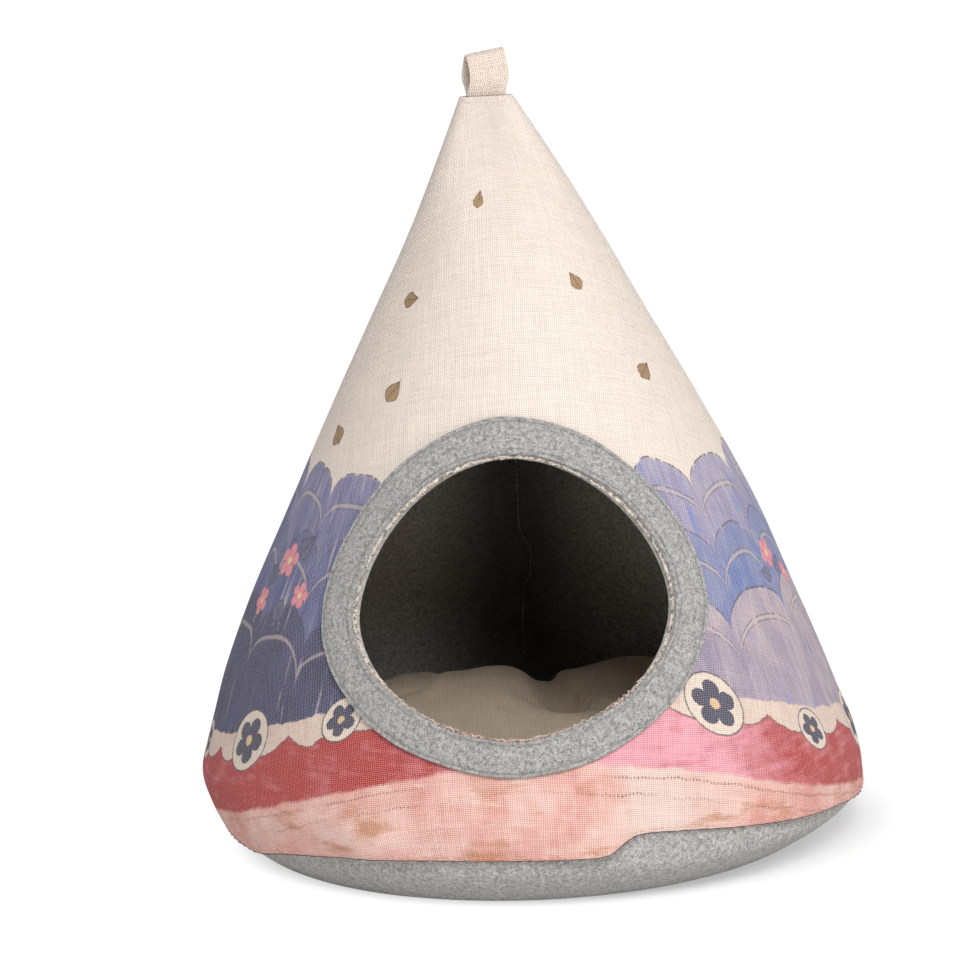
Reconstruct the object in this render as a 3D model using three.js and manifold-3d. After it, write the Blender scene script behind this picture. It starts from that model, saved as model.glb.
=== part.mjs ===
// Cat teepee: a stiff felt cone under a printed linen cover, with a round doorway, a felt base and a cushion.
// Millimetres. X runs to the right, the doorway faces -Y and Z is up from the floor that the base rests on.
// An azimuth is counted from the doorway, in degrees, and grows to the right.

import * as THREE from "three";
import { mergeVertices } from "three/addons/utils/BufferGeometryUtils.js";
import Module from "manifold-3d";

// Thickness of the two cloths, and the air left between sewn layers and under the doorway's ring
const LINEN = 1.2;
const FELT = 3;
const GAP = 0.4;
const RING_GAP = 0.6;

// Steps around the cone, and the lining's rows from foot to top
const COLUMNS = 60;
const LINING_ROWS = 12;

// Outer face of the body: its radius on the left and on the right at each height
const BODY = [
  { height: 0, left: 153, right: 159 },
  { height: 3, left: 165, right: 169 },
  { height: 8, left: 174.5, right: 179 },
  { height: 15, left: 184, right: 191 },
  { height: 24, left: 190, right: 202 },
  { height: 35, left: 195, right: 203 },
  { height: 50, left: 199, right: 201 },
  { height: 65, left: 195.5, right: 197 },
  { height: 80, left: 191, right: 191 },
  { height: 110, left: 182, right: 180 },
  { height: 150, left: 166, right: 164 },
  { height: 200, left: 142, right: 144 },
  { height: 260, left: 113, right: 114 },
  { height: 330, left: 78, right: 76 },
  { height: 450, left: 15.2, right: 15.2 },
];
const COVER_TOP = 450;
const LINING_TOP = 424;

// The top is sewn flat around the strap: its round section turns into a slot from this height up
const SQUEEZE_FROM = 352;
const SQUEEZED_DEPTH = 0.46;

// The tip leans to the left, more and more from this height up
const LEAN_FROM = 346;
const LEAN = -8.2;
const LEAN_POWER = 1.6;

// Seam between the cover and the base: its height around the body
const SEAM = [
  { azimuth: -180, height: 25 },
  { azimuth: -120, height: 20 },
  { azimuth: -66, height: 17 },
  { azimuth: -44, height: 28 },
  { azimuth: -23, height: 34.5 },
  { azimuth: 5, height: 35.5 },
  { azimuth: 11.5, height: 36.5 },
  { azimuth: 14, height: 41.5 },
  { azimuth: 17, height: 45.5 },
  { azimuth: 24, height: 44.5 },
  { azimuth: 38, height: 39 },
  { azimuth: 64, height: 30.5 },
  { azimuth: 80, height: 25 },
  { azimuth: 120, height: 22 },
  { azimuth: 180, height: 25 },
];
// How far the base's rim reaches up behind the cover, and how far below the seam it is already tucked in
const RIM_LAP = 9;
const RIM_TUCK = 2;

// Folds of the cover: the crest runs from its head down to its foot at the seam, and stands out most there
const FOLDS = [
  { headAzimuth: 18, headHeight: 88, footAzimuth: 11, out: 4.5, widthLeft: 15, widthRight: 6 },
  { headAzimuth: 1, headHeight: 76, footAzimuth: 4, out: 1.5, widthLeft: 8, widthRight: 8 },
  { headAzimuth: -36, headHeight: 78, footAzimuth: -27, out: 3, widthLeft: 8, widthRight: 13 },
  { headAzimuth: -62, headHeight: 84, footAzimuth: -54, out: 2.5, widthLeft: 12, widthRight: 12 },
  { headAzimuth: 46, headHeight: 80, footAzimuth: 50, out: 2, widthLeft: 14, widthRight: 14 },
  { headAzimuth: 112, headHeight: 92, footAzimuth: 106, out: 3, widthLeft: 12, widthRight: 16 },
  { headAzimuth: 152, headHeight: 84, footAzimuth: 158, out: 2.5, widthLeft: 14, widthRight: 9 },
  { headAzimuth: -138, headHeight: 96, footAzimuth: -130, out: 3.5, widthLeft: 10, widthRight: 16 },
];

// The doorway is drawn on the unrolled cone, whose tip lies above the real top
const UNROLLED_TIP = 518;
const UNROLLED_SLOPE = 0.435;
const DOORWAY_SIDE = -6.5;
const DOORWAY_DOWN = 372.5;
const DOORWAY_HALF_WIDTH = 94;
const DOORWAY_HALF_HEIGHT = 83;
const DOORWAY_POWER = 1.8;
const DOORWAY_STEPS = 64;
// The felt ring's width, and how far each layer's raw edge reaches past the ring into the doorway
const RING_WIDTH = 21.5;
const COVER_EDGE = 1.6;
const LINING_EDGE = 0.8;

// The strap that makes the loop
const STRAP_WIDTH = 23;
const STRAP_THICKNESS = 2.2;
const LOOP_FOOT = 428;
const LOOP_TOP = 475.5;
const LOOP_HALF_DEPTH = 6;
const LOOP_NECK = 2.1;
const LOOP_ARCH = 4.5;
const LOOP_SKEW = 2.2;
const LOOP_TILT = 1.8;
const LOOP_TURN = 7;
const LOOP_OPENS_AT = 0.4;
const LOOP_WIDEST_AT = 0.75;

// The loose cushion: how far each row of its side is drawn in from its widest, and its rounded top
const CUSHION_FOOT_RADIUS = 146;
const CUSHION_MOST_RADIUS = 187;
const CUSHION_TOP_RADIUS = 184;
const CUSHION_EDGE_HEIGHT = 46;
const CUSHION_CROWN = 22;
const CUSHION_CLEARANCE = 2;
const CUSHION_COLUMNS = 48;
const CUSHION_SIDE = [
  { height: 8, draw: 5 },
  { height: 17, draw: 2 },
  { height: 28, draw: 0.5 },
  { height: 38, draw: 3 },
];
const CUSHION_LUMPS = [
  { x: -12, y: 97, up: 11.5, spreadX: 36, spreadY: 45 },
  { x: 90, y: 128, up: 20.5, spreadX: 59, spreadY: 50 },
  { x: 24, y: 75, up: -13.4, spreadX: 22, spreadY: 50 },
  { x: -90, y: 109, up: 13, spreadX: 55, spreadY: 50 },
  { x: 20, y: -90, up: 4, spreadX: 80, spreadY: 40 },
];
const CUSHION_LUMP_FADE = 10;

const DEGREE = Math.PI / 180;

function smooth(t) {
  const u = Math.min(Math.max(t, 0), 1);
  return u * u * (3 - 2 * u);
}

// A smooth curve through the rows of a table
function along(table, key, column, at) {
  const last = table.length - 1;
  let row = 0;
  while (row < last - 1 && at > table[row + 1][key]) row += 1;
  const tangent = (index) => {
    const before = table[Math.max(index - 1, 0)];
    const after = table[Math.min(index + 1, last)];
    return (after[column] - before[column]) / (after[key] - before[key]);
  };
  const low = table[row];
  const high = table[row + 1];
  const span = high[key] - low[key];
  const t = (at - low[key]) / span;
  const rise = high[column] - low[column];
  const start = tangent(row) * span;
  const end = tangent(row + 1) * span;
  return low[column] + t * (start + t * (3 * rise - 2 * start - end + t * (start + end - 2 * rise)));
}

// The body's radius at one azimuth, as a share of its half width
function squeeze(azimuth, height) {
  const flat = smooth((height - SQUEEZE_FROM) / (COVER_TOP - SQUEEZE_FROM));
  const depth = 1 - (1 - SQUEEZED_DEPTH) * flat;
  const power = 2 + flat;
  const across = Math.abs(Math.sin(azimuth * DEGREE));
  const forward = Math.abs(Math.cos(azimuth * DEGREE)) / depth;
  return (across ** power + forward ** power) ** (-1 / power);
}

function bodyRadius(azimuth, height) {
  const left = along(BODY, "height", "left", height);
  const right = along(BODY, "height", "right", height);
  const halfWidth = (left + right) / 2 + ((right - left) / 2) * Math.sin(azimuth * DEGREE);
  return halfWidth * squeeze(azimuth, height);
}

// How far the body's middle stands to the right of the base's middle at one height
function lean(height) {
  const up = (height - LEAN_FROM) / (COVER_TOP - LEAN_FROM);
  return LEAN * Math.min(Math.max(up, 0), 1) ** LEAN_POWER;
}

// A point of the body's section at one azimuth, moved in from the outer face by a distance along its normal
function sectionPoint(azimuth, height, inset, out = 0) {
  const step = 0.5;
  const low = Math.max(height - step, 0);
  const high = Math.min(height + step, COVER_TOP);
  const slope = (bodyRadius(azimuth, high) - bodyRadius(azimuth, low)) / (high - low);
  const length = Math.hypot(1, slope);
  return {
    r: bodyRadius(azimuth, height) + out - inset / length,
    z: height + (inset * slope) / length,
    side: lean(height),
  };
}

function place(azimuth, { r, z, side = 0 }) {
  const angle = azimuth * DEGREE;
  return new THREE.Vector3(r * Math.sin(angle) + side, -r * Math.cos(angle), z);
}

function seamHeight(azimuth) {
  return along(SEAM, "azimuth", "height", azimuth);
}

// How far the folds lift the cover off the felt at one place
function foldOut(azimuth, height) {
  const foot = seamHeight(azimuth);
  let most = 0;
  for (const fold of FOLDS) {
    const down = Math.min(Math.max((fold.headHeight - height) / (fold.headHeight - foot), 0), 1);
    const crest = fold.headAzimuth + (fold.footAzimuth - fold.headAzimuth) * down;
    const away = azimuth - crest;
    const width = away < 0 ? fold.widthLeft : fold.widthRight;
    most = Math.max(most, fold.out * smooth(down) * smooth(1 - Math.abs(away) / width));
  }
  return most;
}

// A closed mesh from rings of points: each ring is joined to the next, and the last to the first.
// A ring runs up one face and back down the other, and both faces are split into triangles alike.
function solidFromRings(rings) {
  const count = rings[0].length;
  const positions = rings.flatMap((ring) => ring.flatMap((point) => point.toArray()));
  const index = [];
  rings.forEach((ring, i) => {
    const next = (i + 1) % rings.length;
    for (let j = 0; j < count; j += 1) {
      const a = i * count + j;
      const b = i * count + ((j + 1) % count);
      const c = next * count + ((j + 1) % count);
      const d = next * count + j;
      if (j < count / 2) index.push(a, b, c, a, c, d);
      else index.push(a, b, d, b, c, d);
    }
  });
  const geometry = new THREE.BufferGeometry();
  geometry.setAttribute("position", new THREE.Float32BufferAttribute(positions, 3));
  geometry.setIndex(index);
  return geometry;
}

// A closed mesh from open strings of points that run from one pole to the other, counted anticlockwise
// as seen from the end pole
function solidFromMeridians(start, end, meridians) {
  const count = meridians[0].length;
  const positions = [start, end, ...meridians.flat()].flatMap((point) => point.toArray());
  const index = [];
  meridians.forEach((meridian, i) => {
    const here = 2 + i * count;
    const next = 2 + ((i + 1) % meridians.length) * count;
    index.push(0, next, here);
    for (let j = 0; j < count - 1; j += 1) {
      index.push(here + j, next + j, next + j + 1);
      index.push(here + j, next + j + 1, here + j + 1);
    }
    index.push(1, here + count - 1, next + count - 1);
  });
  const geometry = new THREE.BufferGeometry();
  geometry.setAttribute("position", new THREE.Float32BufferAttribute(positions, 3));
  geometry.setIndex(index);
  return geometry;
}

// Share of the way up for evenly counted rows, closer together near the foot
function closeAtFoot(t) {
  return t * (0.5 + 0.5 * t);
}

function azimuths(columns) {
  return Array.from({ length: columns }, (_, i) => -180 + (360 * i) / columns);
}

// Heights of the lining's rows at one azimuth
function liningHeights(azimuth) {
  const foot = seamHeight(azimuth) + RIM_LAP + GAP;
  return Array.from({ length: LINING_ROWS + 1 }, (_, row) => {
    return foot + (LINING_TOP - foot) * closeAtFoot(row / LINING_ROWS);
  });
}

// The cover shares the lining's rows, with two more below them and one above
function coverHeights(azimuth) {
  const seam = seamHeight(azimuth);
  return [seam, seam + RIM_LAP / 2, ...liningHeights(azimuth), COVER_TOP];
}

// One layer of the cone through its rows, from an inset to a thickness further in
function coneLayer(heightsAt, inset, thickness, outAt) {
  const rings = azimuths(COLUMNS).map((azimuth) => {
    const face = (depth) =>
      heightsAt(azimuth).map((height) =>
        place(azimuth, sectionPoint(azimuth, height, depth, outAt(azimuth, height))),
      );
    return [...face(inset + thickness), ...face(inset).reverse()];
  });
  return solidFromRings(rings);
}

// A point of the doorway's edge, drawn out by a margin on the unrolled cone, at an inset from the outer face
function doorwayPoint(turn, margin, inset) {
  const power = 2 / DOORWAY_POWER;
  const across = Math.sign(Math.cos(turn)) * Math.abs(Math.cos(turn)) ** power;
  const up = Math.sign(Math.sin(turn)) * Math.abs(Math.sin(turn)) ** power;
  const x = DOORWAY_SIDE + (DOORWAY_HALF_WIDTH + margin) * across;
  const y = DOORWAY_DOWN - (DOORWAY_HALF_HEIGHT + margin) * up;
  const halfAngle = Math.atan(UNROLLED_SLOPE);
  const azimuth = Math.atan2(x, y) / Math.sin(halfAngle) / DEGREE;
  const height = UNROLLED_TIP - Math.hypot(x, y) * Math.cos(halfAngle);
  return place(azimuth, sectionPoint(azimuth, height, inset));
}

function doorwayTurns() {
  return Array.from({ length: DOORWAY_STEPS }, (_, i) => (2 * Math.PI * i) / DOORWAY_STEPS);
}

// The body that is cut out of a layer to open the doorway
function doorwayPlug(margin) {
  const reach = 14;
  const bulge = 90;
  const meridians = doorwayTurns().map((turn) => [
    doorwayPoint(turn, margin, reach),
    doorwayPoint(turn, margin, -reach),
  ]);
  const centre = (inset) => {
    const left = doorwayPoint(Math.PI, 0, inset);
    const right = doorwayPoint(0, 0, inset);
    return left.add(right).multiplyScalar(0.5);
  };
  const outside = centre(0).add(new THREE.Vector3(0, -bulge, 0));
  const inside = centre(reach).add(new THREE.Vector3(0, reach, 0));
  return solidFromMeridians(inside, outside, meridians);
}

function doorwayRing() {
  const rings = doorwayTurns().map((turn) => {
    const margins = [0, RING_WIDTH / 2, RING_WIDTH];
    const under = margins.map((margin) => doorwayPoint(turn, margin, -RING_GAP));
    const over = margins.map((margin) => doorwayPoint(turn, margin, -RING_GAP - FELT));
    return [...over, ...under.reverse()];
  });
  return solidFromRings(rings);
}

// The base: a flat disc of felt whose rim turns up and goes behind the cover
function baseInset(azimuth, height) {
  return (LINEN + GAP) * smooth(height / (seamHeight(azimuth) - RIM_TUCK));
}

function rimHeights(azimuth) {
  const seam = seamHeight(azimuth);
  const steps = 6;
  const visible = Array.from({ length: steps }, (_, i) => {
    return seam * closeAtFoot((i + 1) / steps);
  });
  return [...visible, seam + RIM_LAP / 2, seam + RIM_LAP];
}

function feltBase() {
  const flatShares = [0.45, 0.8, 1];
  const leastRise = 0.2;
  const meridians = azimuths(COLUMNS).map((azimuth) => {
    const flat = bodyRadius(azimuth, 0);
    const under = flatShares.map((share) => place(azimuth, { r: flat * share, z: 0 }));
    const over = flatShares.map((share) => place(azimuth, { r: (flat - FELT) * share, z: FELT }));
    const face = (depth) =>
      rimHeights(azimuth).map((height, i) => {
        const point = sectionPoint(azimuth, height, baseInset(azimuth, height) + depth);
        return place(azimuth, { r: point.r, z: Math.max(point.z, depth + leastRise * (i + 1)) });
      });
    return [...under, ...face(0), ...face(FELT).reverse(), ...over.reverse()];
  });
  return solidFromMeridians(new THREE.Vector3(0, 0, 0), new THREE.Vector3(0, 0, FELT), meridians);
}

// The strap's middle line, seen from its side: up behind, over the top and down in front
function loopLine() {
  const line = [];
  const legSteps = 6;
  const archSteps = 8;
  const spring = LOOP_TOP - LOOP_ARCH;
  const leg = (t) => ({
    depth:
      LOOP_NECK +
      (LOOP_HALF_DEPTH - LOOP_NECK) * smooth((t - LOOP_OPENS_AT) / (LOOP_WIDEST_AT - LOOP_OPENS_AT)) -
      (LOOP_HALF_DEPTH - LOOP_ARCH) * smooth((t - LOOP_WIDEST_AT) / (1 - LOOP_WIDEST_AT)),
    z: LOOP_FOOT + (spring - LOOP_FOOT) * t,
  });
  const legs = Array.from({ length: legSteps + 1 }, (_, i) => leg(i / legSteps));
  line.push(...legs);
  for (let i = 1; i < archSteps; i += 1) {
    const turn = (Math.PI * i) / archSteps;
    line.push({
      depth: LOOP_ARCH * Math.cos(turn),
      z: spring + LOOP_ARCH * Math.sin(turn),
    });
  }
  line.push(...legs.reverse().map(({ depth, z }) => ({ depth: -depth, z })));
  return line;
}

function hangLoop() {
  const line = loopLine();
  const corners = line.map((point, i) => {
    const before = line[Math.max(i - 1, 0)];
    const after = line[Math.min(i + 1, line.length - 1)];
    const length = Math.hypot(after.depth - before.depth, after.z - before.z);
    const normal = { depth: (after.z - before.z) / length, z: -(after.depth - before.depth) / length };
    const above = Math.min(Math.max((point.z - COVER_TOP) / (LOOP_TOP - COVER_TOP), 0), 1);
    const lift = smooth(above);
    const sideways = (-LOOP_SKEW * Math.sin(Math.PI * above) * point.depth) / LOOP_HALF_DEPTH;
    const turn = LOOP_TURN * lift * DEGREE;
    return [-1, 1].flatMap((face) =>
      [face, -face].map((side) => {
        const x = sideways + (side * STRAP_WIDTH) / 2;
        const y = point.depth + (face * normal.depth * STRAP_THICKNESS) / 2;
        return new THREE.Vector3(
          x * Math.cos(turn) - y * Math.sin(turn) + lean(point.z),
          x * Math.sin(turn) + y * Math.cos(turn),
          point.z + (face * normal.z * STRAP_THICKNESS) / 2 + side * LOOP_TILT * lift,
        );
      }),
    );
  });
  const rows = corners.length;
  const positions = corners.flat().flatMap((point) => point.toArray());
  const index = [];
  for (let i = 0; i < rows - 1; i += 1) {
    for (let j = 0; j < 4; j += 1) {
      const a = i * 4 + j;
      const b = i * 4 + ((j + 1) % 4);
      index.push(a, b, b + 4, a, b + 4, a + 4);
    }
  }
  const last = (rows - 1) * 4;
  index.push(0, 2, 1, 0, 3, 2);
  index.push(last, last + 1, last + 2, last, last + 2, last + 3);
  const geometry = new THREE.BufferGeometry();
  geometry.setAttribute("position", new THREE.Float32BufferAttribute(positions, 3));
  geometry.setIndex(index);
  return geometry;
}

// Height of the cushion's top face
function cushionTop(x, y, radius) {
  const share = Math.min(Math.hypot(x, y) / radius, 1);
  let height = CUSHION_EDGE_HEIGHT + CUSHION_CROWN * (1 - share ** 2.4);
  for (const lump of CUSHION_LUMPS) {
    const away = ((x - lump.x) / lump.spreadX) ** 2 + ((y - lump.y) / lump.spreadY) ** 2;
    height += lump.up * Math.exp(-away) * (1 - share ** CUSHION_LUMP_FADE);
  }
  return height;
}

function cushion() {
  const floor = FELT + GAP;
  const footShares = [0.5, 0.8, 0.97];
  const topShares = [0.97, 0.9, 0.8, 0.66, 0.5, 0.34, 0.17];
  const room = (azimuth, height) => {
    const wall = baseInset(azimuth, height) + FELT + LINEN + 2 * GAP + CUSHION_CLEARANCE;
    return bodyRadius(azimuth, height) - wall;
  };
  const meridians = azimuths(CUSHION_COLUMNS).map((azimuth) => {
    const foot = footShares.map((share) => place(azimuth, { r: CUSHION_FOOT_RADIUS * share, z: floor }));
    const side = CUSHION_SIDE.map(({ height, draw }) => {
      const r = Math.min(room(azimuth, height) - draw, CUSHION_MOST_RADIUS);
      return place(azimuth, { r, z: height + GAP });
    });
    const edge = Math.min(side.at(-1).clone().setZ(0).length() - 1, CUSHION_TOP_RADIUS);
    const top = topShares.map((share) => {
      const point = place(azimuth, { r: edge * share, z: 0 });
      return point.setZ(cushionTop(point.x, point.y, edge));
    });
    return [...foot, ...side, ...top];
  });
  const middle = new THREE.Vector3(0, 0, cushionTop(0, 0, CUSHION_TOP_RADIUS));
  return solidFromMeridians(new THREE.Vector3(0, 0, floor), middle, meridians);
}

const wasm = await Module();
wasm.setup();

function toSolid(geometry) {
  const bare = new THREE.BufferGeometry();
  bare.setAttribute("position", geometry.getAttribute("position"));
  bare.setIndex(geometry.index);
  const merged = mergeVertices(bare, 1e-3);
  return new wasm.Manifold(
    new wasm.Mesh({
      numProp: 3,
      vertProperties: merged.attributes.position.array,
      triVerts: new Uint32Array(merged.index.array),
    }),
  );
}

function toGeometry(solid) {
  const mesh = solid.getMesh();
  const geometry = new THREE.BufferGeometry();
  geometry.setAttribute("position", new THREE.BufferAttribute(mesh.vertProperties, 3));
  geometry.setIndex(new THREE.BufferAttribute(mesh.triVerts, 1));
  return geometry;
}

function openDoorway(geometry, edge) {
  return toGeometry(toSolid(geometry).subtract(toSolid(doorwayPlug(-edge))));
}

const cloths = {
  linen: new THREE.MeshStandardMaterial({ color: 0xe6d8c6, roughness: 0.9, metalness: 0 }),
  printedLinen: new THREE.MeshStandardMaterial({ color: 0xd9c2b6, roughness: 0.88, metalness: 0 }),
  greyFelt: new THREE.MeshStandardMaterial({ color: 0x959799, roughness: 0.95, metalness: 0 }),
  cushionLinen: new THREE.MeshStandardMaterial({ color: 0xcdbfae, roughness: 0.92, metalness: 0 }),
};

function addPiece(group, name, geometry, material) {
  geometry.computeVertexNormals();
  const mesh = new THREE.Mesh(geometry, material);
  mesh.name = name;
  group.add(mesh);
}

const group = new THREE.Group();

const cover = coneLayer(coverHeights, 0, LINEN, foldOut);
addPiece(group, "outer_cover", openDoorway(cover, COVER_EDGE), cloths.printedLinen);

const lining = coneLayer(liningHeights, LINEN + GAP, FELT, () => 0);
addPiece(group, "felt_lining", openDoorway(lining, LINING_EDGE), cloths.greyFelt);

addPiece(group, "doorway_ring", doorwayRing(), cloths.greyFelt);
addPiece(group, "felt_base", feltBase(), cloths.greyFelt);
addPiece(group, "hang_loop", hangLoop(), cloths.linen);
addPiece(group, "cushion", cushion(), cloths.cushionLinen);

export default group;
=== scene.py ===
"""Cat teepee: a felt cone under a printed linen cover, with a felt ring round its doorway, a felt base,
a strap loop at the top and a loose cushion inside. Metres, +Z up, the doorway faces -Y."""

import math
from collections import namedtuple

import bmesh
import bpy
import numpy as np
from mathutils import Matrix, Vector


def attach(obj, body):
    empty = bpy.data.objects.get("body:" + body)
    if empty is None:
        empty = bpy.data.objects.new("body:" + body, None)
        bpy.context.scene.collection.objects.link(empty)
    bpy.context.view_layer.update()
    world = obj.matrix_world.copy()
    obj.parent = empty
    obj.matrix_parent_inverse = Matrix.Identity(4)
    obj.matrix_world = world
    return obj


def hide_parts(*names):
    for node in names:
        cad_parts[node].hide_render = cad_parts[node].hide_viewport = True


bl_info = {
    "name": "Cat teepee",
    "version": (1, 0, 0),
    "blender": (4, 5, 0),
    "location": "3D View > Sidebar > Teepee",
    "description": "Dresses a sewn cat teepee in linen and felt",
    "category": "Object",
}

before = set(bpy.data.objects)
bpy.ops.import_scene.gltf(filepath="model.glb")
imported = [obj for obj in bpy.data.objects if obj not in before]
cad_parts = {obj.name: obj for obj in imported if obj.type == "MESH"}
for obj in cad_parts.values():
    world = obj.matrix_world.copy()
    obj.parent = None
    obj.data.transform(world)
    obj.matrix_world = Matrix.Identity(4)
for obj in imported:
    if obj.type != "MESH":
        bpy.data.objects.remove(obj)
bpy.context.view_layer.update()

MM = 0.001
DEGREE = math.pi / 180

# The cloths and the air between sewn layers, as in the part's source
LINEN = 0.0012
FELT = 0.003
GAP = 0.0004
RING_GAP = 0.0006
COVER_TOP = 0.450
LINING_TOP = 0.424
SQUEEZE_FROM = 0.352
SQUEEZED_DEPTH = 0.46
LEAN_FROM = 0.346
LEAN = -0.0082
LEAN_POWER = 1.6
RIM_LAP = 0.009
RIM_TUCK = 0.002

# Outer face of the body: its radius on the left and on the right at each height
BodyRow = namedtuple("BodyRow", "height left right")
BODY = [
    BodyRow(0.000, 0.153, 0.159),
    BodyRow(0.003, 0.165, 0.169),
    BodyRow(0.008, 0.1745, 0.179),
    BodyRow(0.015, 0.184, 0.191),
    BodyRow(0.024, 0.190, 0.202),
    BodyRow(0.035, 0.195, 0.203),
    BodyRow(0.050, 0.199, 0.201),
    BodyRow(0.065, 0.1955, 0.197),
    BodyRow(0.080, 0.191, 0.191),
    BodyRow(0.110, 0.182, 0.180),
    BodyRow(0.150, 0.166, 0.164),
    BodyRow(0.200, 0.142, 0.144),
    BodyRow(0.260, 0.113, 0.114),
    BodyRow(0.330, 0.078, 0.076),
    BodyRow(0.450, 0.0152, 0.0152),
]

# Seam between the cover and the base: its height around the body, in degrees from the doorway
SeamRow = namedtuple("SeamRow", "azimuth height")
SEAM = [
    SeamRow(-180, 0.025),
    SeamRow(-120, 0.020),
    SeamRow(-66, 0.017),
    SeamRow(-44, 0.028),
    SeamRow(-23, 0.0345),
    SeamRow(5, 0.0355),
    SeamRow(11.5, 0.0365),
    SeamRow(14, 0.0415),
    SeamRow(17, 0.0455),
    SeamRow(24, 0.0445),
    SeamRow(38, 0.039),
    SeamRow(64, 0.0305),
    SeamRow(80, 0.025),
    SeamRow(120, 0.022),
    SeamRow(180, 0.025),
]

# Folds of the cover: the crest runs from its head down to its foot at the seam, and stands out most there
Fold = namedtuple("Fold", "head_azimuth head_height foot_azimuth out width_left width_right")
FOLDS = [
    Fold(18, 0.088, 11, 0.0045, 15, 6),
    Fold(1, 0.076, 4, 0.0015, 8, 8),
    Fold(-36, 0.078, -27, 0.003, 8, 13),
    Fold(-62, 0.084, -54, 0.0025, 12, 12),
    Fold(46, 0.080, 50, 0.002, 14, 14),
    Fold(112, 0.092, 106, 0.003, 12, 16),
    Fold(152, 0.084, 158, 0.0025, 14, 9),
    Fold(-138, 0.096, -130, 0.0035, 10, 16),
]

# The doorway, drawn on the unrolled cone
UNROLLED_TIP = 0.518
UNROLLED_HALF_ANGLE = math.atan(0.435)
DOORWAY_SIDE = -0.0065
DOORWAY_DOWN = 0.3725
DOORWAY_HALF_WIDTH = 0.094
DOORWAY_HALF_HEIGHT = 0.083
DOORWAY_POWER = 1.8
RING_WIDTH = 0.0215

# The strap that makes the loop
STRAP_WIDTH = 0.023
STRAP_THICKNESS = 0.0022
LOOP_FOOT = 0.428
LOOP_TOP = 0.4755
LOOP_HALF_DEPTH = 0.006
LOOP_NECK = 0.0021
LOOP_ARCH = 0.0045
LOOP_SKEW = 0.0022
LOOP_TILT = 0.0018
LOOP_TURN = 7
LOOP_OPENS_AT = 0.4
LOOP_WIDEST_AT = 0.75

# The base's contact shadow on the floor: its middle, how much it is narrowed, and where it starts to fade
SHADOW_MIDDLE = (0.022, 0.012, 0)
SHADOW_STRETCH = (1.0, 1.12, 0.0)
SHADOW_FADE_FROM = 0.178

# Threads: how far apart they stand and how long they are, how high an arc they make, and half their thickness
# Turn is how far they stray from the path, in radians, and uneven is the spread of their sizes
Thread = namedtuple("Thread", "spacing length lift thickness turn uneven seed")
RING_STITCH = Thread(0.0034, 0.0029, 0.0009, 0.0002, 0.05, 0.08, 1)
FOOT_STITCH = Thread(0.0042, 0.0032, 0.0007, 0.0002, 0.06, 0.1, 2)
SEAM_STITCH = Thread(0.0036, 0.003, 0.0010, 0.0002, 0.08, 0.1, 3)
WALL_STITCH = Thread(0.0040, 0.0046, 0.0014, 0.00028, 0.25, 0.2, 4)
EDGE_FIBRE = Thread(0.0016, 0.0030, 0.0012, 0.00011, 0.75, 0.6, 5)
EDGE_TUFT = Thread(0.0045, 0.0034, 0.0018, 0.00016, 1.0, 0.6, 6)
FOOT_FIBRE = Thread(0.009, 0.0024, 0.0012, 0.0001, 0.9, 0.6, 7)
# A dark mauve thread laid along the cover's foot edge: painted shade under that edge
FOOT_SHADE_THREAD = Thread(0.0019, 0.0024, 0.0003, 0.00026, 0.12, 0.25, 8)

# How far the foot's stitches and the painted shade line along its edge lie above the seam, and the ring's
# stitches in its face
FOOT_ROW = 0.0022
FOOT_SHADE_ROW = 0.0002
STITCH_SUNK = 0.0007

# The loose cushion
CUSHION_FOOT_RADIUS = 0.146
CUSHION_TOP_RADIUS = 0.184
CUSHION_EDGE_HEIGHT = 0.046
CUSHION_CROWN = 0.022
CUSHION_CLEARANCE = 0.002
CUSHION_MOST_RADIUS = 0.187
SideRow = namedtuple("SideRow", "height draw")
CUSHION_SIDE = [SideRow(0.008, 0.005), SideRow(0.017, 0.002), SideRow(0.028, 0.0005), SideRow(0.038, 0.003)]
Lump = namedtuple("Lump", "x y up spread_x spread_y")
CUSHION_LUMPS = [
    Lump(-0.012, 0.097, 0.0115, 0.036, 0.045),
    Lump(0.090, 0.128, 0.0205, 0.059, 0.050),
    Lump(0.024, 0.075, -0.0134, 0.022, 0.050),
    Lump(-0.090, 0.109, 0.013, 0.055, 0.050),
    Lump(0.020, -0.090, 0.004, 0.080, 0.040),
]
CUSHION_LUMP_FADE = 10
FILL_FRAMES = 20

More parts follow.
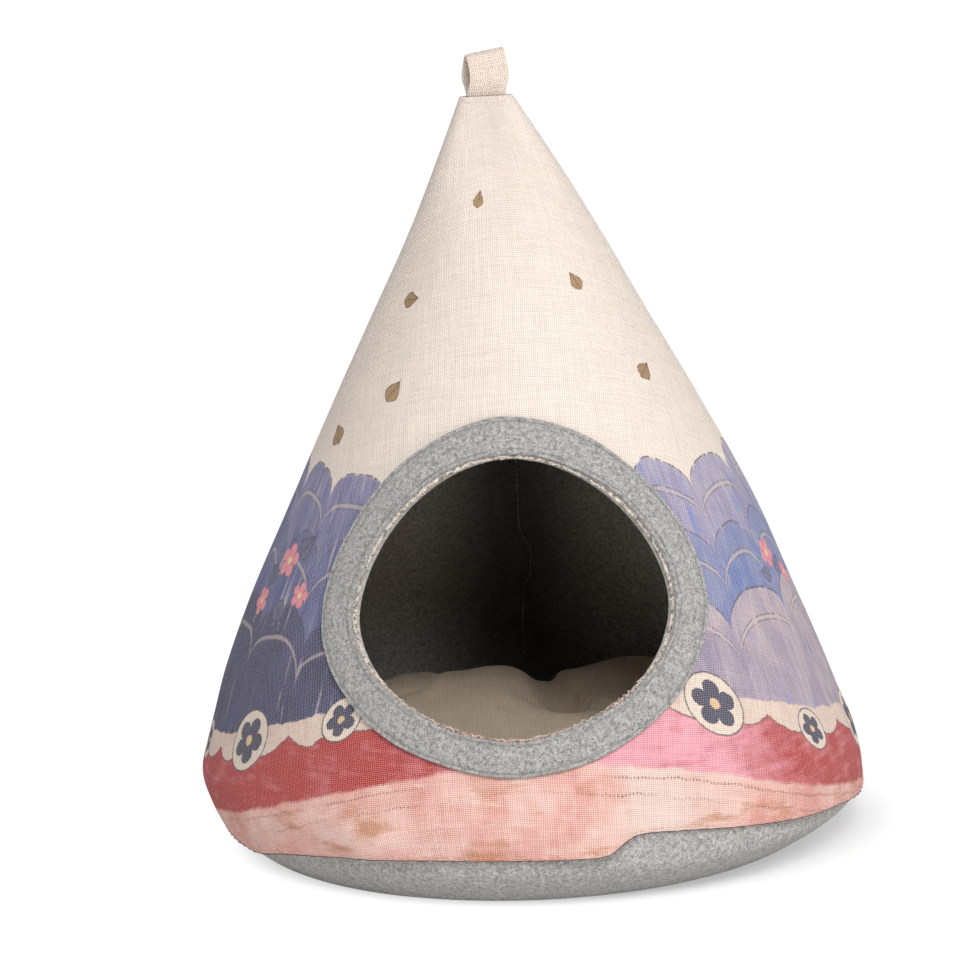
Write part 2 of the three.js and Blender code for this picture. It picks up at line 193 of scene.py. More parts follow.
# Creases of the cushion's case: a path seen from above, how far it is sunk or raised, and its half width.
# The cloth to the right of the path stands up by the step, which fades out over 30 mm
Crease = namedtuple("Crease", "out width step path")
CREASES = [
    Crease(
        -0.006, 0.011, 0.0, [(0.004, 0.176), (0.012, 0.115), (0.019, 0.066), (0.028, 0.030), (0.040, 0.004)],
    ),
    Crease(
        -0.0025, 0.0026, 0.005,
        [(0.056, -0.015), (0.042, 0.030), (0.031, 0.083), (0.020, 0.125), (0.014, 0.180)],
    ),
    Crease(0.003, 0.0045, 0.0, [(-0.088, 0.116), (-0.071, 0.126), (-0.054, 0.119)]),
    Crease(-0.003, 0.005, 0.0, [(-0.084, 0.094), (-0.067, 0.097), (-0.052, 0.116)]),
    Crease(-0.0018, 0.004, 0.001, [(-0.033, 0.098), (-0.023, 0.053), (-0.012, 0.020), (0.005, -0.014)]),
    Crease(-0.0018, 0.0055, 0.0, [(-0.018, 0.110), (-0.004, 0.057), (0.014, 0.028)]),
    Crease(0.0018, 0.005, 0.0, [(-0.066, 0.048), (-0.054, 0.084), (-0.044, 0.116)]),
    Crease(-0.0015, 0.004, 0.0, [(-0.110, 0.040), (-0.080, 0.066), (-0.060, 0.070)]),
    Crease(-0.002, 0.005, 0.001, [(0.060, 0.060), (0.078, 0.092), (0.080, 0.128)]),
    Crease(-0.002, 0.004, 0.0, [(0.052, -0.060), (0.030, -0.100), (-0.010, -0.132)]),
    Crease(-0.002, 0.005, 0.0, [(-0.120, -0.020), (-0.090, -0.060), (-0.070, -0.110)]),
    Crease(-0.002, 0.005, 0.0, [(0.120, 0.020), (0.100, -0.040), (0.112, -0.090)]),
]


def smooth(t):
    """Ease from 0 to 1"""
    t = np.clip(t, 0.0, 1.0)
    return t * t * (3 - 2 * t)


def along(table, column, at):
    """Smooth curve through the rows of a table, whose first column is what it runs along"""
    key = np.array([row[0] for row in table], float)
    value = np.array([getattr(row, column) for row in table], float)
    before = np.maximum(np.arange(len(key)) - 1, 0)
    after = np.minimum(np.arange(len(key)) + 1, len(key) - 1)
    tangent = (value[after] - value[before]) / (key[after] - key[before])
    low = np.clip(np.searchsorted(key, at, side="left") - 1, 0, len(key) - 2)
    span = key[low + 1] - key[low]
    t = (at - key[low]) / span
    rise = value[low + 1] - value[low]
    start = tangent[low] * span
    end = tangent[low + 1] * span
    return value[low] + t * (start + t * (3 * rise - 2 * start - end + t * (start + end - 2 * rise)))


def squeeze(azimuth, height):
    """The body's radius at one azimuth, as a share of its half width"""
    flat = smooth((height - SQUEEZE_FROM) / (COVER_TOP - SQUEEZE_FROM))
    depth = 1 - (1 - SQUEEZED_DEPTH) * flat
    power = 2 + flat
    across = np.abs(np.sin(azimuth * DEGREE))
    forward = np.abs(np.cos(azimuth * DEGREE)) / depth
    return (across**power + forward**power) ** (-1 / power)


def body_radius(azimuth, height):
    left = along(BODY, "left", height)
    right = along(BODY, "right", height)
    half_width = (left + right) / 2 + (right - left) / 2 * np.sin(azimuth * DEGREE)
    return half_width * squeeze(azimuth, height)


def lean(height):
    """How far the body's middle stands to the right of the base's middle"""
    return LEAN * np.clip((height - LEAN_FROM) / (COVER_TOP - LEAN_FROM), 0, 1) ** LEAN_POWER


def place(azimuth, radius, z, side=0.0):
    angle = azimuth * DEGREE
    return np.stack([radius * np.sin(angle) + side, -radius * np.cos(angle), z + 0 * radius], -1)


def surface(azimuth, height, inset=0.0, out=0.0):
    """A point of the body's section at one azimuth, moved in along its normal from the outer face"""
    step = 0.0005
    low = np.maximum(height - step, 0)
    high = np.minimum(height + step, COVER_TOP)
    slope = (body_radius(azimuth, high) - body_radius(azimuth, low)) / (high - low)
    length = np.hypot(1, slope)
    radius = body_radius(azimuth, height) + out - inset / length
    return place(azimuth, radius, height + inset * slope / length, lean(height))


def seam_height(azimuth):
    return along(SEAM, "height", azimuth)


def fold_out(azimuth, height):
    """How far the folds lift the cover off the felt"""
    foot = seam_height(azimuth)
    most = np.zeros_like(azimuth + height)
    for fold in FOLDS:
        down = np.clip((fold.head_height - height) / (fold.head_height - foot), 0, 1)
        crest = fold.head_azimuth + (fold.foot_azimuth - fold.head_azimuth) * down
        away = azimuth - crest
        width = np.where(away < 0, fold.width_left, fold.width_right)
        most = np.maximum(most, fold.out * smooth(down) * smooth(1 - np.abs(away) / width))
    return most


def unroll(azimuth, height):
    """Turn and distance from the tip on the unrolled cone"""
    turn = azimuth * DEGREE * math.sin(UNROLLED_HALF_ANGLE)
    down = (UNROLLED_TIP - height) / math.cos(UNROLLED_HALF_ANGLE)
    return turn, down


def doorway_value(azimuth, height, margin):
    """Positive outside the doorway's edge drawn out by a margin, and negative within it"""
    turn, down = unroll(azimuth, height)
    across = np.abs(down * np.sin(turn) - DOORWAY_SIDE) / (DOORWAY_HALF_WIDTH + margin)
    up = np.abs(down * np.cos(turn) - DOORWAY_DOWN) / (DOORWAY_HALF_HEIGHT + margin)
    return across**DOORWAY_POWER + up**DOORWAY_POWER - 1


def doorway_edge(turn, margin):
    """Azimuth and height of the doorway's edge drawn out by a margin"""
    power = 2 / DOORWAY_POWER
    across = np.sign(np.cos(turn)) * np.abs(np.cos(turn)) ** power
    up = np.sign(np.sin(turn)) * np.abs(np.sin(turn)) ** power
    x = DOORWAY_SIDE + (DOORWAY_HALF_WIDTH + margin) * across
    y = DOORWAY_DOWN - (DOORWAY_HALF_HEIGHT + margin) * up
    azimuth = np.arctan2(x, y) / math.sin(UNROLLED_HALF_ANGLE) / DEGREE
    return azimuth, UNROLLED_TIP - np.hypot(x, y) * math.cos(UNROLLED_HALF_ANGLE)


def ripple(azimuth, height, wave):
    """Even, seedless unevenness between -1 and 1 over the body, in waves of about that size"""
    waves = 0.15 / wave
    angle = azimuth * DEGREE
    up = height / wave
    return (
        np.sin(round(waves) * angle + 1.7 * np.sin(0.61 * up + 1.1))
        + np.sin(0.73 * up + 1.3 * np.sin(round(0.47 * waves) * angle))
        + np.sin(round(0.59 * waves) * angle + 0.59 * up + 2.1)
    ) / 3


def make_piece(name, vertices, faces, material, uvs=None, sharp=40):
    """A smooth mesh object at the origin. uvs holds a name and a value for each vertex, or for each corner"""
    mesh = bpy.data.meshes.new(name)
    mesh.from_pydata(np.asarray(vertices).tolist(), [], faces)
    corner_vertex = np.zeros(len(mesh.loops), int)
    mesh.loops.foreach_get("vertex_index", corner_vertex)
    for layer_name, value in (uvs or {}).items():
        value = np.asarray(value, float)
        if len(value) != len(corner_vertex):
            value = value[corner_vertex]
        layer = mesh.uv_layers.new(name=layer_name)
        layer.data.foreach_set("uv", value.astype(np.float32).ravel())
    mesh.shade_smooth()
    mesh.set_sharp_from_angle(angle=math.radians(sharp))
    mesh.materials.append(material)
    piece = bpy.data.objects.new(name, mesh)
    bpy.context.scene.collection.objects.link(piece)
    return piece


def merge_doubles(piece, distance=1e-6):
    work = bmesh.new()
    work.from_mesh(piece.data)
    bmesh.ops.remove_doubles(work, verts=work.verts, dist=distance)
    work.to_mesh(piece.data)
    work.free()


def dress(piece, slot, *nodes):
    """Seats a finished piece in the frame, in place of the plain nodes it stands for"""
    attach(piece, "root")
    if nodes:
        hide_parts(*nodes)


def cut_grid(azimuth, height, value):
    """Polygons of a grid over the body, clipped where value(azimuth, height) falls below zero"""
    kept = value(azimuth, height) > 0
    places = []
    number = {}

    def corner(at):
        if at not in number:
            number[at] = len(places)
            places.append((azimuth[at], height[at]))
        return number[at]

    def crossing(one, other):
        key = (min(one, other), max(one, other))
        if key not in number:
            inside, outside = (one, other) if kept[one] else (other, one)
            low = np.array([azimuth[inside], height[inside]])
            high = np.array([azimuth[outside], height[outside]])
            for _ in range(18):
                middle = (low + high) / 2
                if value(*middle) > 0:
                    low = middle
                else:
                    high = middle
            number[key] = len(places)
            places.append(tuple(low))
        return number[key]

    polygons = []
    for i in range(azimuth.shape[0] - 1):
        for j in range(azimuth.shape[1] - 1):
            ring = [(i, j), (i + 1, j), (i + 1, j + 1), (i, j + 1)]
            polygon = []
            for here, there in zip(ring, ring[1:] + ring[:1]):
                if kept[here]:
                    polygon.append(corner(here))
                if kept[here] != kept[there]:
                    polygon.append(crossing(here, there))
            if polygon:
                polygons.append(polygon)
    return np.array(places), polygons


def sewn_sheet(name, azimuth, height, value, outer, inner, material):
    """A sheet over the body from a grid of places: two faces a thickness apart, closed along its edges"""
    places, polygons = cut_grid(azimuth, height, value)
    count = len(places)
    vertices = np.concatenate([outer(*places.T), inner(*places.T)])
    edges = {(a, b) for ring in polygons for a, b in zip(ring, ring[1:] + ring[:1])}
    back = np.abs(np.abs(places[:, 0]) - 180) < 1e-9
    faces = [list(ring) for ring in polygons]
    faces += [[index + count for index in reversed(ring)] for ring in polygons]
    for a, b in edges:
        if (b, a) not in edges and not (back[a] and back[b]):
            faces.append([b, a, a + count, b + count])
    turn, down = unroll(*places.T)
    flat = np.stack([down * np.sin(turn), -down * np.cos(turn)], -1)
    polar = np.stack([turn, down], -1)
    uvs = {"cloth": np.concatenate([flat, flat]), "polar": np.concatenate([polar, polar])}
    piece = make_piece(name, vertices, faces, material, uvs)
    merge_doubles(piece)
    return piece


def sweep(name, sections, material, closed=True, uvs=None):
    """A tube through closed sections, whose two ends join, or are capped"""
    rows, count = sections.shape[:2]
    faces = []
    for i in range(rows if closed else rows - 1):
        for j in range(count):
            here = i * count
            there = (i + 1) % rows * count
            side = (j + 1) % count
            faces.append([here + j, here + side, there + side, there + j])
    if not closed:
        last = (rows - 1) * count
        faces.append(list(reversed(range(count))))
        faces.append([last + j for j in range(count)])
    return make_piece(name, sections.reshape(-1, 3), faces, material, uvs)


def grid_closed(name, start, end, meridians, material):
    """A closed skin from strings of points that run from one pole to the other"""
    columns, count = meridians.shape[:2]
    vertices = np.concatenate([[start, end], meridians.reshape(-1, 3)])
    faces = []
    for i in range(columns):
        here = 2 + i * count
        there = 2 + (i + 1) % columns * count
        faces.append([0, there, here])
        for j in range(count - 1):
            faces.append([here + j, there + j, there + j + 1, here + j + 1])
        faces.append([1, here + count - 1, there + count - 1])
    return make_piece(name, vertices, faces, material)


def linear(code):
    """Linear colour of an sRGB hex code"""
    channels = [int(code[i : i + 2], 16) / 255 for i in (0, 2, 4)]
    return tuple(c / 12.92 if c <= 0.04045 else ((c + 0.055) / 1.055) ** 2.4 for c in channels)


def colour(code):
    return (*linear(code), 1.0)


def add(tree, kind, inputs=(), **settings):
    """Adds a node. Inputs give its sockets a value or a link, by name or number. Settings are its properties"""
    made = tree.nodes.new(kind)
    for name, value in settings.items():
        setattr(made, name, value)
    for key, value in inputs.items() if isinstance(inputs, dict) else enumerate(inputs):
        if isinstance(value, bpy.types.Node):
            value = next(socket for socket in value.outputs if socket.enabled)
        taken = made.inputs[key]
        if isinstance(key, str):
            taken = next(socket for socket in made.inputs if socket.name == key and socket.enabled)
        if isinstance(value, bpy.types.NodeSocket):
            tree.links.new(value, taken)
        elif value is not None:
            taken.default_value = value
    return made


def new_group(name, kind, inputs, outputs):
    """An empty node group with its sockets, and its input and output nodes"""
    tree = bpy.data.node_groups.new(name, kind)
    for side, sockets in (("INPUT", inputs), ("OUTPUT", outputs)):
        for socket_name, socket_kind in sockets.items():
            tree.interface.new_socket(socket_name, in_out=side, socket_type="NodeSocket" + socket_kind)
    return tree, tree.nodes.new("NodeGroupInput").outputs, tree.nodes.new("NodeGroupOutput")


def give(tree, node, links):
    """Links results to a node's sockets"""
    for key, value in links.items():
        if isinstance(value, bpy.types.Node):
            value = next(socket for socket in value.outputs if socket.enabled)
        tree.links.new(value, node.inputs[key])


def weave_group():
    """Plain weave: threads cross over and under, some thicker, with dark pores between them"""
    tree, given, result = new_group(
        "Plain weave",
        "ShaderNodeTree",
        {"Cloth": "Vector", "Warp": "Float", "Weft": "Float", "Slubs": "Float"},
        {"Shade": "Float", "Height": "Float", "Bare": "Float"},
    )
    pitch = add(tree, "ShaderNodeCombineXYZ", [given["Warp"], given["Weft"], 1.0])
    thread = add(tree, "ShaderNodeVectorMath", [given["Cloth"], pitch], operation="DIVIDE")
    wander = add(tree, "ShaderNodeTexNoise", {"Vector": thread, "Scale": 0.07, "Detail": 2.0})
    offset = add(
        tree, "ShaderNodeVectorMath", [wander.outputs["Color"], (0.5, 0.5, 0.5)], operation="SUBTRACT",
    )
    bend = add(tree, "ShaderNodeVectorMath", {0: offset, "Scale": 1.6}, operation="SCALE")
    laid = add(tree, "ShaderNodeVectorMath", [thread, bend], operation="ADD")
    wave_scale = math.tau / 20
    warp = add(tree, "ShaderNodeTexWave", {"Vector": laid, "Scale": wave_scale}, bands_direction="X")
    weft = add(tree, "ShaderNodeTexWave", {"Vector": laid, "Scale": wave_scale}, bands_direction="Y")
    over = add(
        tree, "ShaderNodeTexChecker",
        {"Vector": laid, "Scale": 1.0, "Color1": (1, 1, 1, 1), "Color2": (0, 0, 0, 1)},
    )
    top = add(tree, "ShaderNodeMix", {0: over.outputs["Fac"], 2: warp.outputs["Fac"], 3: weft.outputs["Fac"]})
    cover = add(tree, "ShaderNodeMath", [warp.outputs["Fac"], weft.outputs["Fac"]], operation="MAXIMUM")
    pore = add(
        tree, "ShaderNodeMapRange",
        {"Value": cover, "From Min": 0.2, "From Max": 0.8, "To Min": 0.66, "To Max": 1.0},
    )
    along_warp = add(tree, "ShaderNodeVectorMath", [laid, (0.9, 0.035, 1.0)], operation="MULTIPLY")
    along_weft = add(tree, "ShaderNodeVectorMath", [laid, (0.035, 0.9, 1.0)], operation="MULTIPLY")
    warp_slub = add(tree, "ShaderNodeTexNoise", {"Vector": along_warp, "Scale": 1.0, "Detail": 1.0})
    weft_slub = add(tree, "ShaderNodeTexNoise", {"Vector": along_weft, "Scale": 1.0, "Detail": 1.0})
    slub = add(tree, "ShaderNodeMath", [warp_slub, weft_slub], operation="ADD")
    slubbed = add(tree, "ShaderNodeMath", [slub, -1.0], operation="ADD")
    amount = add(tree, "ShaderNodeMath", [slubbed, given["Slubs"], 1.0], operation="MULTIPLY_ADD")
    round_shade = add(tree, "ShaderNodeMapRange", {"Value": top, "To Min": 0.88, "To Max": 1.05})
    # How high a point lies on a thread's crest; the colour is made paler there
    bare = add(tree, "ShaderNodeMapRange", {"Value": top, "From Min": 0.55, "From Max": 0.95})
    shaded = add(tree, "ShaderNodeMath", [round_shade, pore], operation="MULTIPLY")
    shade = add(tree, "ShaderNodeMath", [shaded, amount], operation="MULTIPLY")
    height = add(tree, "ShaderNodeMath", [slubbed, 1.5, top], operation="MULTIPLY_ADD")
    give(tree, result, {"Shade": shade, "Height": height, "Bare": bare})
    return tree


def felt_group():
    """Pressed felt: a cloud of grey fibres, with paler tufts and small dark flecks"""
    tree, given, result = new_group(
        "Pressed felt",
        "ShaderNodeTree",
        {"Place": "Vector", "Dark": "Color", "Light": "Color", "Fleck": "Color"},
        {"Colour": "Color", "Height": "Float"},
    )
    tuft = add(
        tree, "ShaderNodeTexNoise",
        {"Vector": given["Place"], "Scale": 420.0, "Detail": 4.0, "Roughness": 0.8},
    )
    twist = add(tree, "ShaderNodeTexNoise", {"Vector": given["Place"], "Scale": 320.0, "Detail": 2.0})
    swirl = add(tree, "ShaderNodeVectorMath", {0: twist.outputs["Color"], "Scale": 0.012}, operation="SCALE")
    swirled = add(tree, "ShaderNodeVectorMath", [given["Place"], swirl], operation="ADD")
    stretched = add(tree, "ShaderNodeVectorMath", [swirled, (1900.0, 800.0, 1200.0)], operation="MULTIPLY")
    fibre = add(
        tree, "ShaderNodeTexNoise", {"Vector": stretched, "Scale": 1.0, "Detail": 3.0, "Roughness": 0.6},
    )
    mixed = add(tree, "ShaderNodeMix", {0: 0.55, 2: tuft, 3: fibre})
    share = add(tree, "ShaderNodeMapRange", {"Value": mixed, "From Min": 0.43, "From Max": 0.57})
    body = add(tree, "ShaderNodeMix", {0: share, 6: given["Dark"], 7: given["Light"]}, data_type="RGBA")
    speck = add(tree, "ShaderNodeTexNoise", {"Vector": swirled, "Scale": 620.0, "Detail": 2.0})
    specks = add(
        tree, "ShaderNodeMapRange", {"Value": speck, "From Min": 0.63, "From Max": 0.72, "To Max": 0.8},
    )
    flecked = add(tree, "ShaderNodeMix", {0: specks, 6: body, 7: given["Fleck"]}, data_type="RGBA")
    give(tree, result, {"Colour": flecked.outputs[2], "Height": mixed})
    return tree


def stitch_group():
    """Short threads along a path: each is an arc that lies along the path and stands on its raised side"""
    tree, given, result = new_group(
        "Threads along a path",
        "GeometryNodeTree",
        {
            "Geometry": "Geometry", "Spacing": "Float", "Length": "Float", "Lift": "Float",
            "Thickness": "Float", "Turn": "Float", "Uneven": "Float", "Seed": "Int", "Material": "Material",
        },
        {"Geometry": "Geometry"},
    )
    path = add(tree, "GeometryNodeMeshToCurve", [given["Geometry"]])
    spaced = add(
        tree, "GeometryNodeResampleCurve", {"Curve": path, "Length": given["Spacing"]}, mode="LENGTH",
    )
    half = add(tree, "ShaderNodeMath", [given["Length"], 0.5], operation="MULTIPLY")
    behind = add(tree, "ShaderNodeMath", [half, -1.0], operation="MULTIPLY")
    start = add(tree, "ShaderNodeCombineXYZ", [behind])
    top = add(tree, "ShaderNodeCombineXYZ", {"Z": given["Lift"]})
    end = add(tree, "ShaderNodeCombineXYZ", [half])
    arc = add(
        tree, "GeometryNodeCurveQuadraticBezier",
        {"Resolution": 6, "Start": start, "Middle": top, "End": end},
    )
    section = add(
        tree, "GeometryNodeCurvePrimitiveCircle", {"Resolution": 5, "Radius": given["Thickness"]},
        mode="RADIUS",
    )
    thread = add(tree, "GeometryNodeCurveToMesh", {"Curve": arc, "Profile Curve": section, "Fill Caps": True})
    tangent = add(tree, "GeometryNodeInputTangent")
    raised = add(tree, "GeometryNodeInputNamedAttribute", {"Name": "raised"}, data_type="FLOAT_VECTOR")
    level = add(tree, "FunctionNodeAlignRotationToVector", {"Vector": tangent}, axis="X")
    upright = add(
        tree, "FunctionNodeAlignRotationToVector", {"Rotation": level, "Vector": raised}, axis="Z",
        pivot_axis="X",
    )
    chance = add(
        tree, "FunctionNodeRandomValue", {
            "Min": (-1, -1, -1), "Max": (1, 1, 1), "Seed": given["Seed"],
        }, data_type="FLOAT_VECTOR"
    )
    swing = add(tree, "ShaderNodeVectorMath", {0: chance, "Scale": given["Turn"]}, operation="SCALE")
    turned = add(
        tree, "FunctionNodeRotateRotation", {"Rotation": upright, "Rotate By": swing}, rotation_space="LOCAL",
    )
    shortest = add(tree, "ShaderNodeMath", [1.0, given["Uneven"]], operation="SUBTRACT")
    longest = add(tree, "ShaderNodeMath", [1.0, given["Uneven"]], operation="ADD")
    size = add(
        tree, "FunctionNodeRandomValue", {"Min": shortest, "Max": longest, "Seed": given["Seed"]},
        data_type="FLOAT",
    )
    placed = add(
        tree, "GeometryNodeInstanceOnPoints", {
            "Points": spaced, "Instance": thread, "Rotation": turned, "Scale": size,
        }
    )
    real = add(tree, "GeometryNodeRealizeInstances", [placed])
    dyed = add(tree, "GeometryNodeSetMaterial", {"Geometry": real, "Material": given["Material"]})
    give(tree, result, {"Geometry": dyed})
    return tree


def local_frame(tree, given):
    """The print's place in millimetres about a motif's centre, turned by its angle"""
    centre = add(tree, "ShaderNodeSeparateXYZ", [given["Centre"]])
    scale = add(tree, "ShaderNodeCombineXYZ", [centre.outputs["Y"], -1.0, 0.0])
    away = add(tree, "ShaderNodeVectorMath", [given["Place"], given["Centre"]], operation="SUBTRACT")
    metres = add(tree, "ShaderNodeVectorMath", [away, scale], operation="MULTIPLY")
    local = add(tree, "ShaderNodeVectorMath", {0: metres, "Scale": 1000.0}, operation="SCALE")
    return add(
        tree, "ShaderNodeVectorRotate", {"Vector": local, "Angle": given["Angle"]}, rotation_type="Z_AXIS",
    )


MOTIF = {
    "Under": "Color", "Place": "Vector", "Centre": "Vector", "Angle": "Float", "Size": "Float",
    "Ink": "Color",
}


def leaf_group():
    """Paints one leaf with a midrib over what is under it"""
    tree, given, result = new_group(
        "Printed leaf", "ShaderNodeTree", {**MOTIF, "Fill": "Color"}, {"Colour": "Color"},
    )
    local = local_frame(tree, given)
    rough = add(tree, "ShaderNodeTexNoise", {"Vector": local, "Scale": 0.35, "Detail": 2.0})
    half = add(tree, "ShaderNodeVectorMath", {0: local, 1: given["Size"]}, operation="DIVIDE")
    part = add(tree, "ShaderNodeSeparateXYZ", [half])
    square = add(tree, "ShaderNodeMath", [part.outputs["X"], part.outputs["X"]], operation="MULTIPLY")
    swell = add(tree, "ShaderNodeMath", [square, -4.0, 1.0], operation="MULTIPLY_ADD")
    lean = add(tree, "ShaderNodeMath", [part.outputs["X"], -0.5, 0.34], operation="MULTIPLY_ADD")
    kept = add(tree, "ShaderNodeMath", [lean, 0.05], operation="MAXIMUM")
    width = add(tree, "ShaderNodeMath", [swell, kept], operation="MULTIPLY")
    torn = add(tree, "ShaderNodeMath", [rough, 0.12, width], operation="MULTIPLY_ADD")
    aside = add(tree, "ShaderNodeMath", [part.outputs["Y"]], operation="ABSOLUTE")
    inside = add(tree, "ShaderNodeMath", [torn, aside], operation="SUBTRACT")
    mask = add(tree, "ShaderNodeMapRange", {"Value": inside, "From Min": 0.03, "From Max": 0.07})
    edge = add(
        tree, "ShaderNodeMapRange",
        {"Value": inside, "From Min": 0.06, "From Max": 0.13, "To Min": 0.8, "To Max": 0.0},
    )
    rib = add(
        tree, "ShaderNodeMapRange",
        {"Value": aside, "From Min": 0.012, "From Max": 0.035, "To Min": 0.6, "To Max": 0.0},
    )
    line = add(tree, "ShaderNodeMath", [edge, rib], operation="MAXIMUM")
    tone = add(tree, "ShaderNodeMath", [rough, line], operation="ADD")
    strength = add(tree, "ShaderNodeMapRange", {"Value": tone, "From Min": 0.35, "From Max": 1.1})
    painted = add(tree, "ShaderNodeMix", {0: strength, 6: given["Fill"], 7: given["Ink"]}, data_type="RGBA")
    laid = add(tree, "ShaderNodeMix", {0: mask, 6: given["Under"], 7: painted.outputs[2]}, data_type="RGBA")
    give(tree, result, {"Colour": laid.outputs[2]})
    return tree


def flower_group():
    """Paints one five-petalled flower over what is under it, on a round of its own where Round is above 0"""
    tree, given, result = new_group(
        "Printed flower",
        "ShaderNodeTree",
        {**MOTIF, "Fill": "Color", "Heart": "Color", "Round": "Float", "Ground": "Color"},
        {"Colour": "Color"},
    )
    local = local_frame(tree, given)
    part = add(tree, "ShaderNodeSeparateXYZ", [local])
    away = add(tree, "ShaderNodeVectorMath", [local], operation="LENGTH").outputs["Value"]
    off_round = add(tree, "ShaderNodeMath", [away, given["Round"]], operation="SUBTRACT")
    round_mask = add(
        tree, "ShaderNodeMapRange",
        {"Value": off_round, "From Min": -0.3, "From Max": 0.3, "To Min": 1.0, "To Max": 0.0},
    )
    rim = add(tree, "ShaderNodeMath", [off_round], operation="ABSOLUTE")
    rim_mask = add(
        tree, "ShaderNodeMapRange",
        {"Value": rim, "From Min": 0.25, "From Max": 0.75, "To Min": 0.8, "To Max": 0.0},
    )
    angle = add(tree, "ShaderNodeMath", [part.outputs["Y"], part.outputs["X"]], operation="ARCTAN2")
    five = add(tree, "ShaderNodeMath", [angle, 2.5], operation="MULTIPLY")
    lobes = add(tree, "ShaderNodeMath", [five], operation="COSINE")
    lobe = add(tree, "ShaderNodeMath", [lobes], operation="ABSOLUTE")
    blunt = add(tree, "ShaderNodeMath", [lobe, 0.6], operation="POWER")
    reach = add(tree, "ShaderNodeMath", [blunt, 0.45, 0.55], operation="MULTIPLY_ADD")
    span = add(tree, "ShaderNodeMath", [reach, given["Size"]], operation="MULTIPLY")
    inside = add(tree, "ShaderNodeMath", [span, away], operation="SUBTRACT")
    petals = add(tree, "ShaderNodeMapRange", {"Value": inside, "From Min": 0.0, "From Max": 0.5})
    gap = add(
        tree, "ShaderNodeMapRange",
        {"Value": lobe, "From Min": 0.05, "From Max": 0.22, "To Min": 0.75, "To Max": 0.0},
    )
    brim = add(
        tree, "ShaderNodeMapRange",
        {"Value": inside, "From Min": 0.4, "From Max": 1.1, "To Min": 0.6, "To Max": 0.0},
    )
    line = add(tree, "ShaderNodeMath", [gap, brim], operation="MAXIMUM")
    tint = add(tree, "ShaderNodeMix", {0: line, 6: given["Fill"], 7: given["Ink"]}, data_type="RGBA")
    heart_size = add(tree, "ShaderNodeMath", [given["Size"], 0.24], operation="MULTIPLY")
    heart_gap = add(tree, "ShaderNodeMath", [heart_size, away], operation="SUBTRACT")
    heart = add(tree, "ShaderNodeMapRange", {"Value": heart_gap, "From Min": 0.0, "From Max": 0.4})
    flower = add(tree, "ShaderNodeMix", {0: heart, 6: tint.outputs[2], 7: given["Heart"]}, data_type="RGBA")
    ground = add(
        tree, "ShaderNodeMix", {0: round_mask, 6: given["Under"], 7: given["Ground"]}, data_type="RGBA",
    )
    ringed = add(
        tree, "ShaderNodeMix", {0: rim_mask, 6: ground.outputs[2], 7: given["Ink"]}, data_type="RGBA",
    )
    laid = add(
        tree, "ShaderNodeMix", {0: petals, 6: ringed.outputs[2], 7: flower.outputs[2]}, data_type="RGBA",
    )
    give(tree, result, {"Colour": laid.outputs[2]})
    return tree


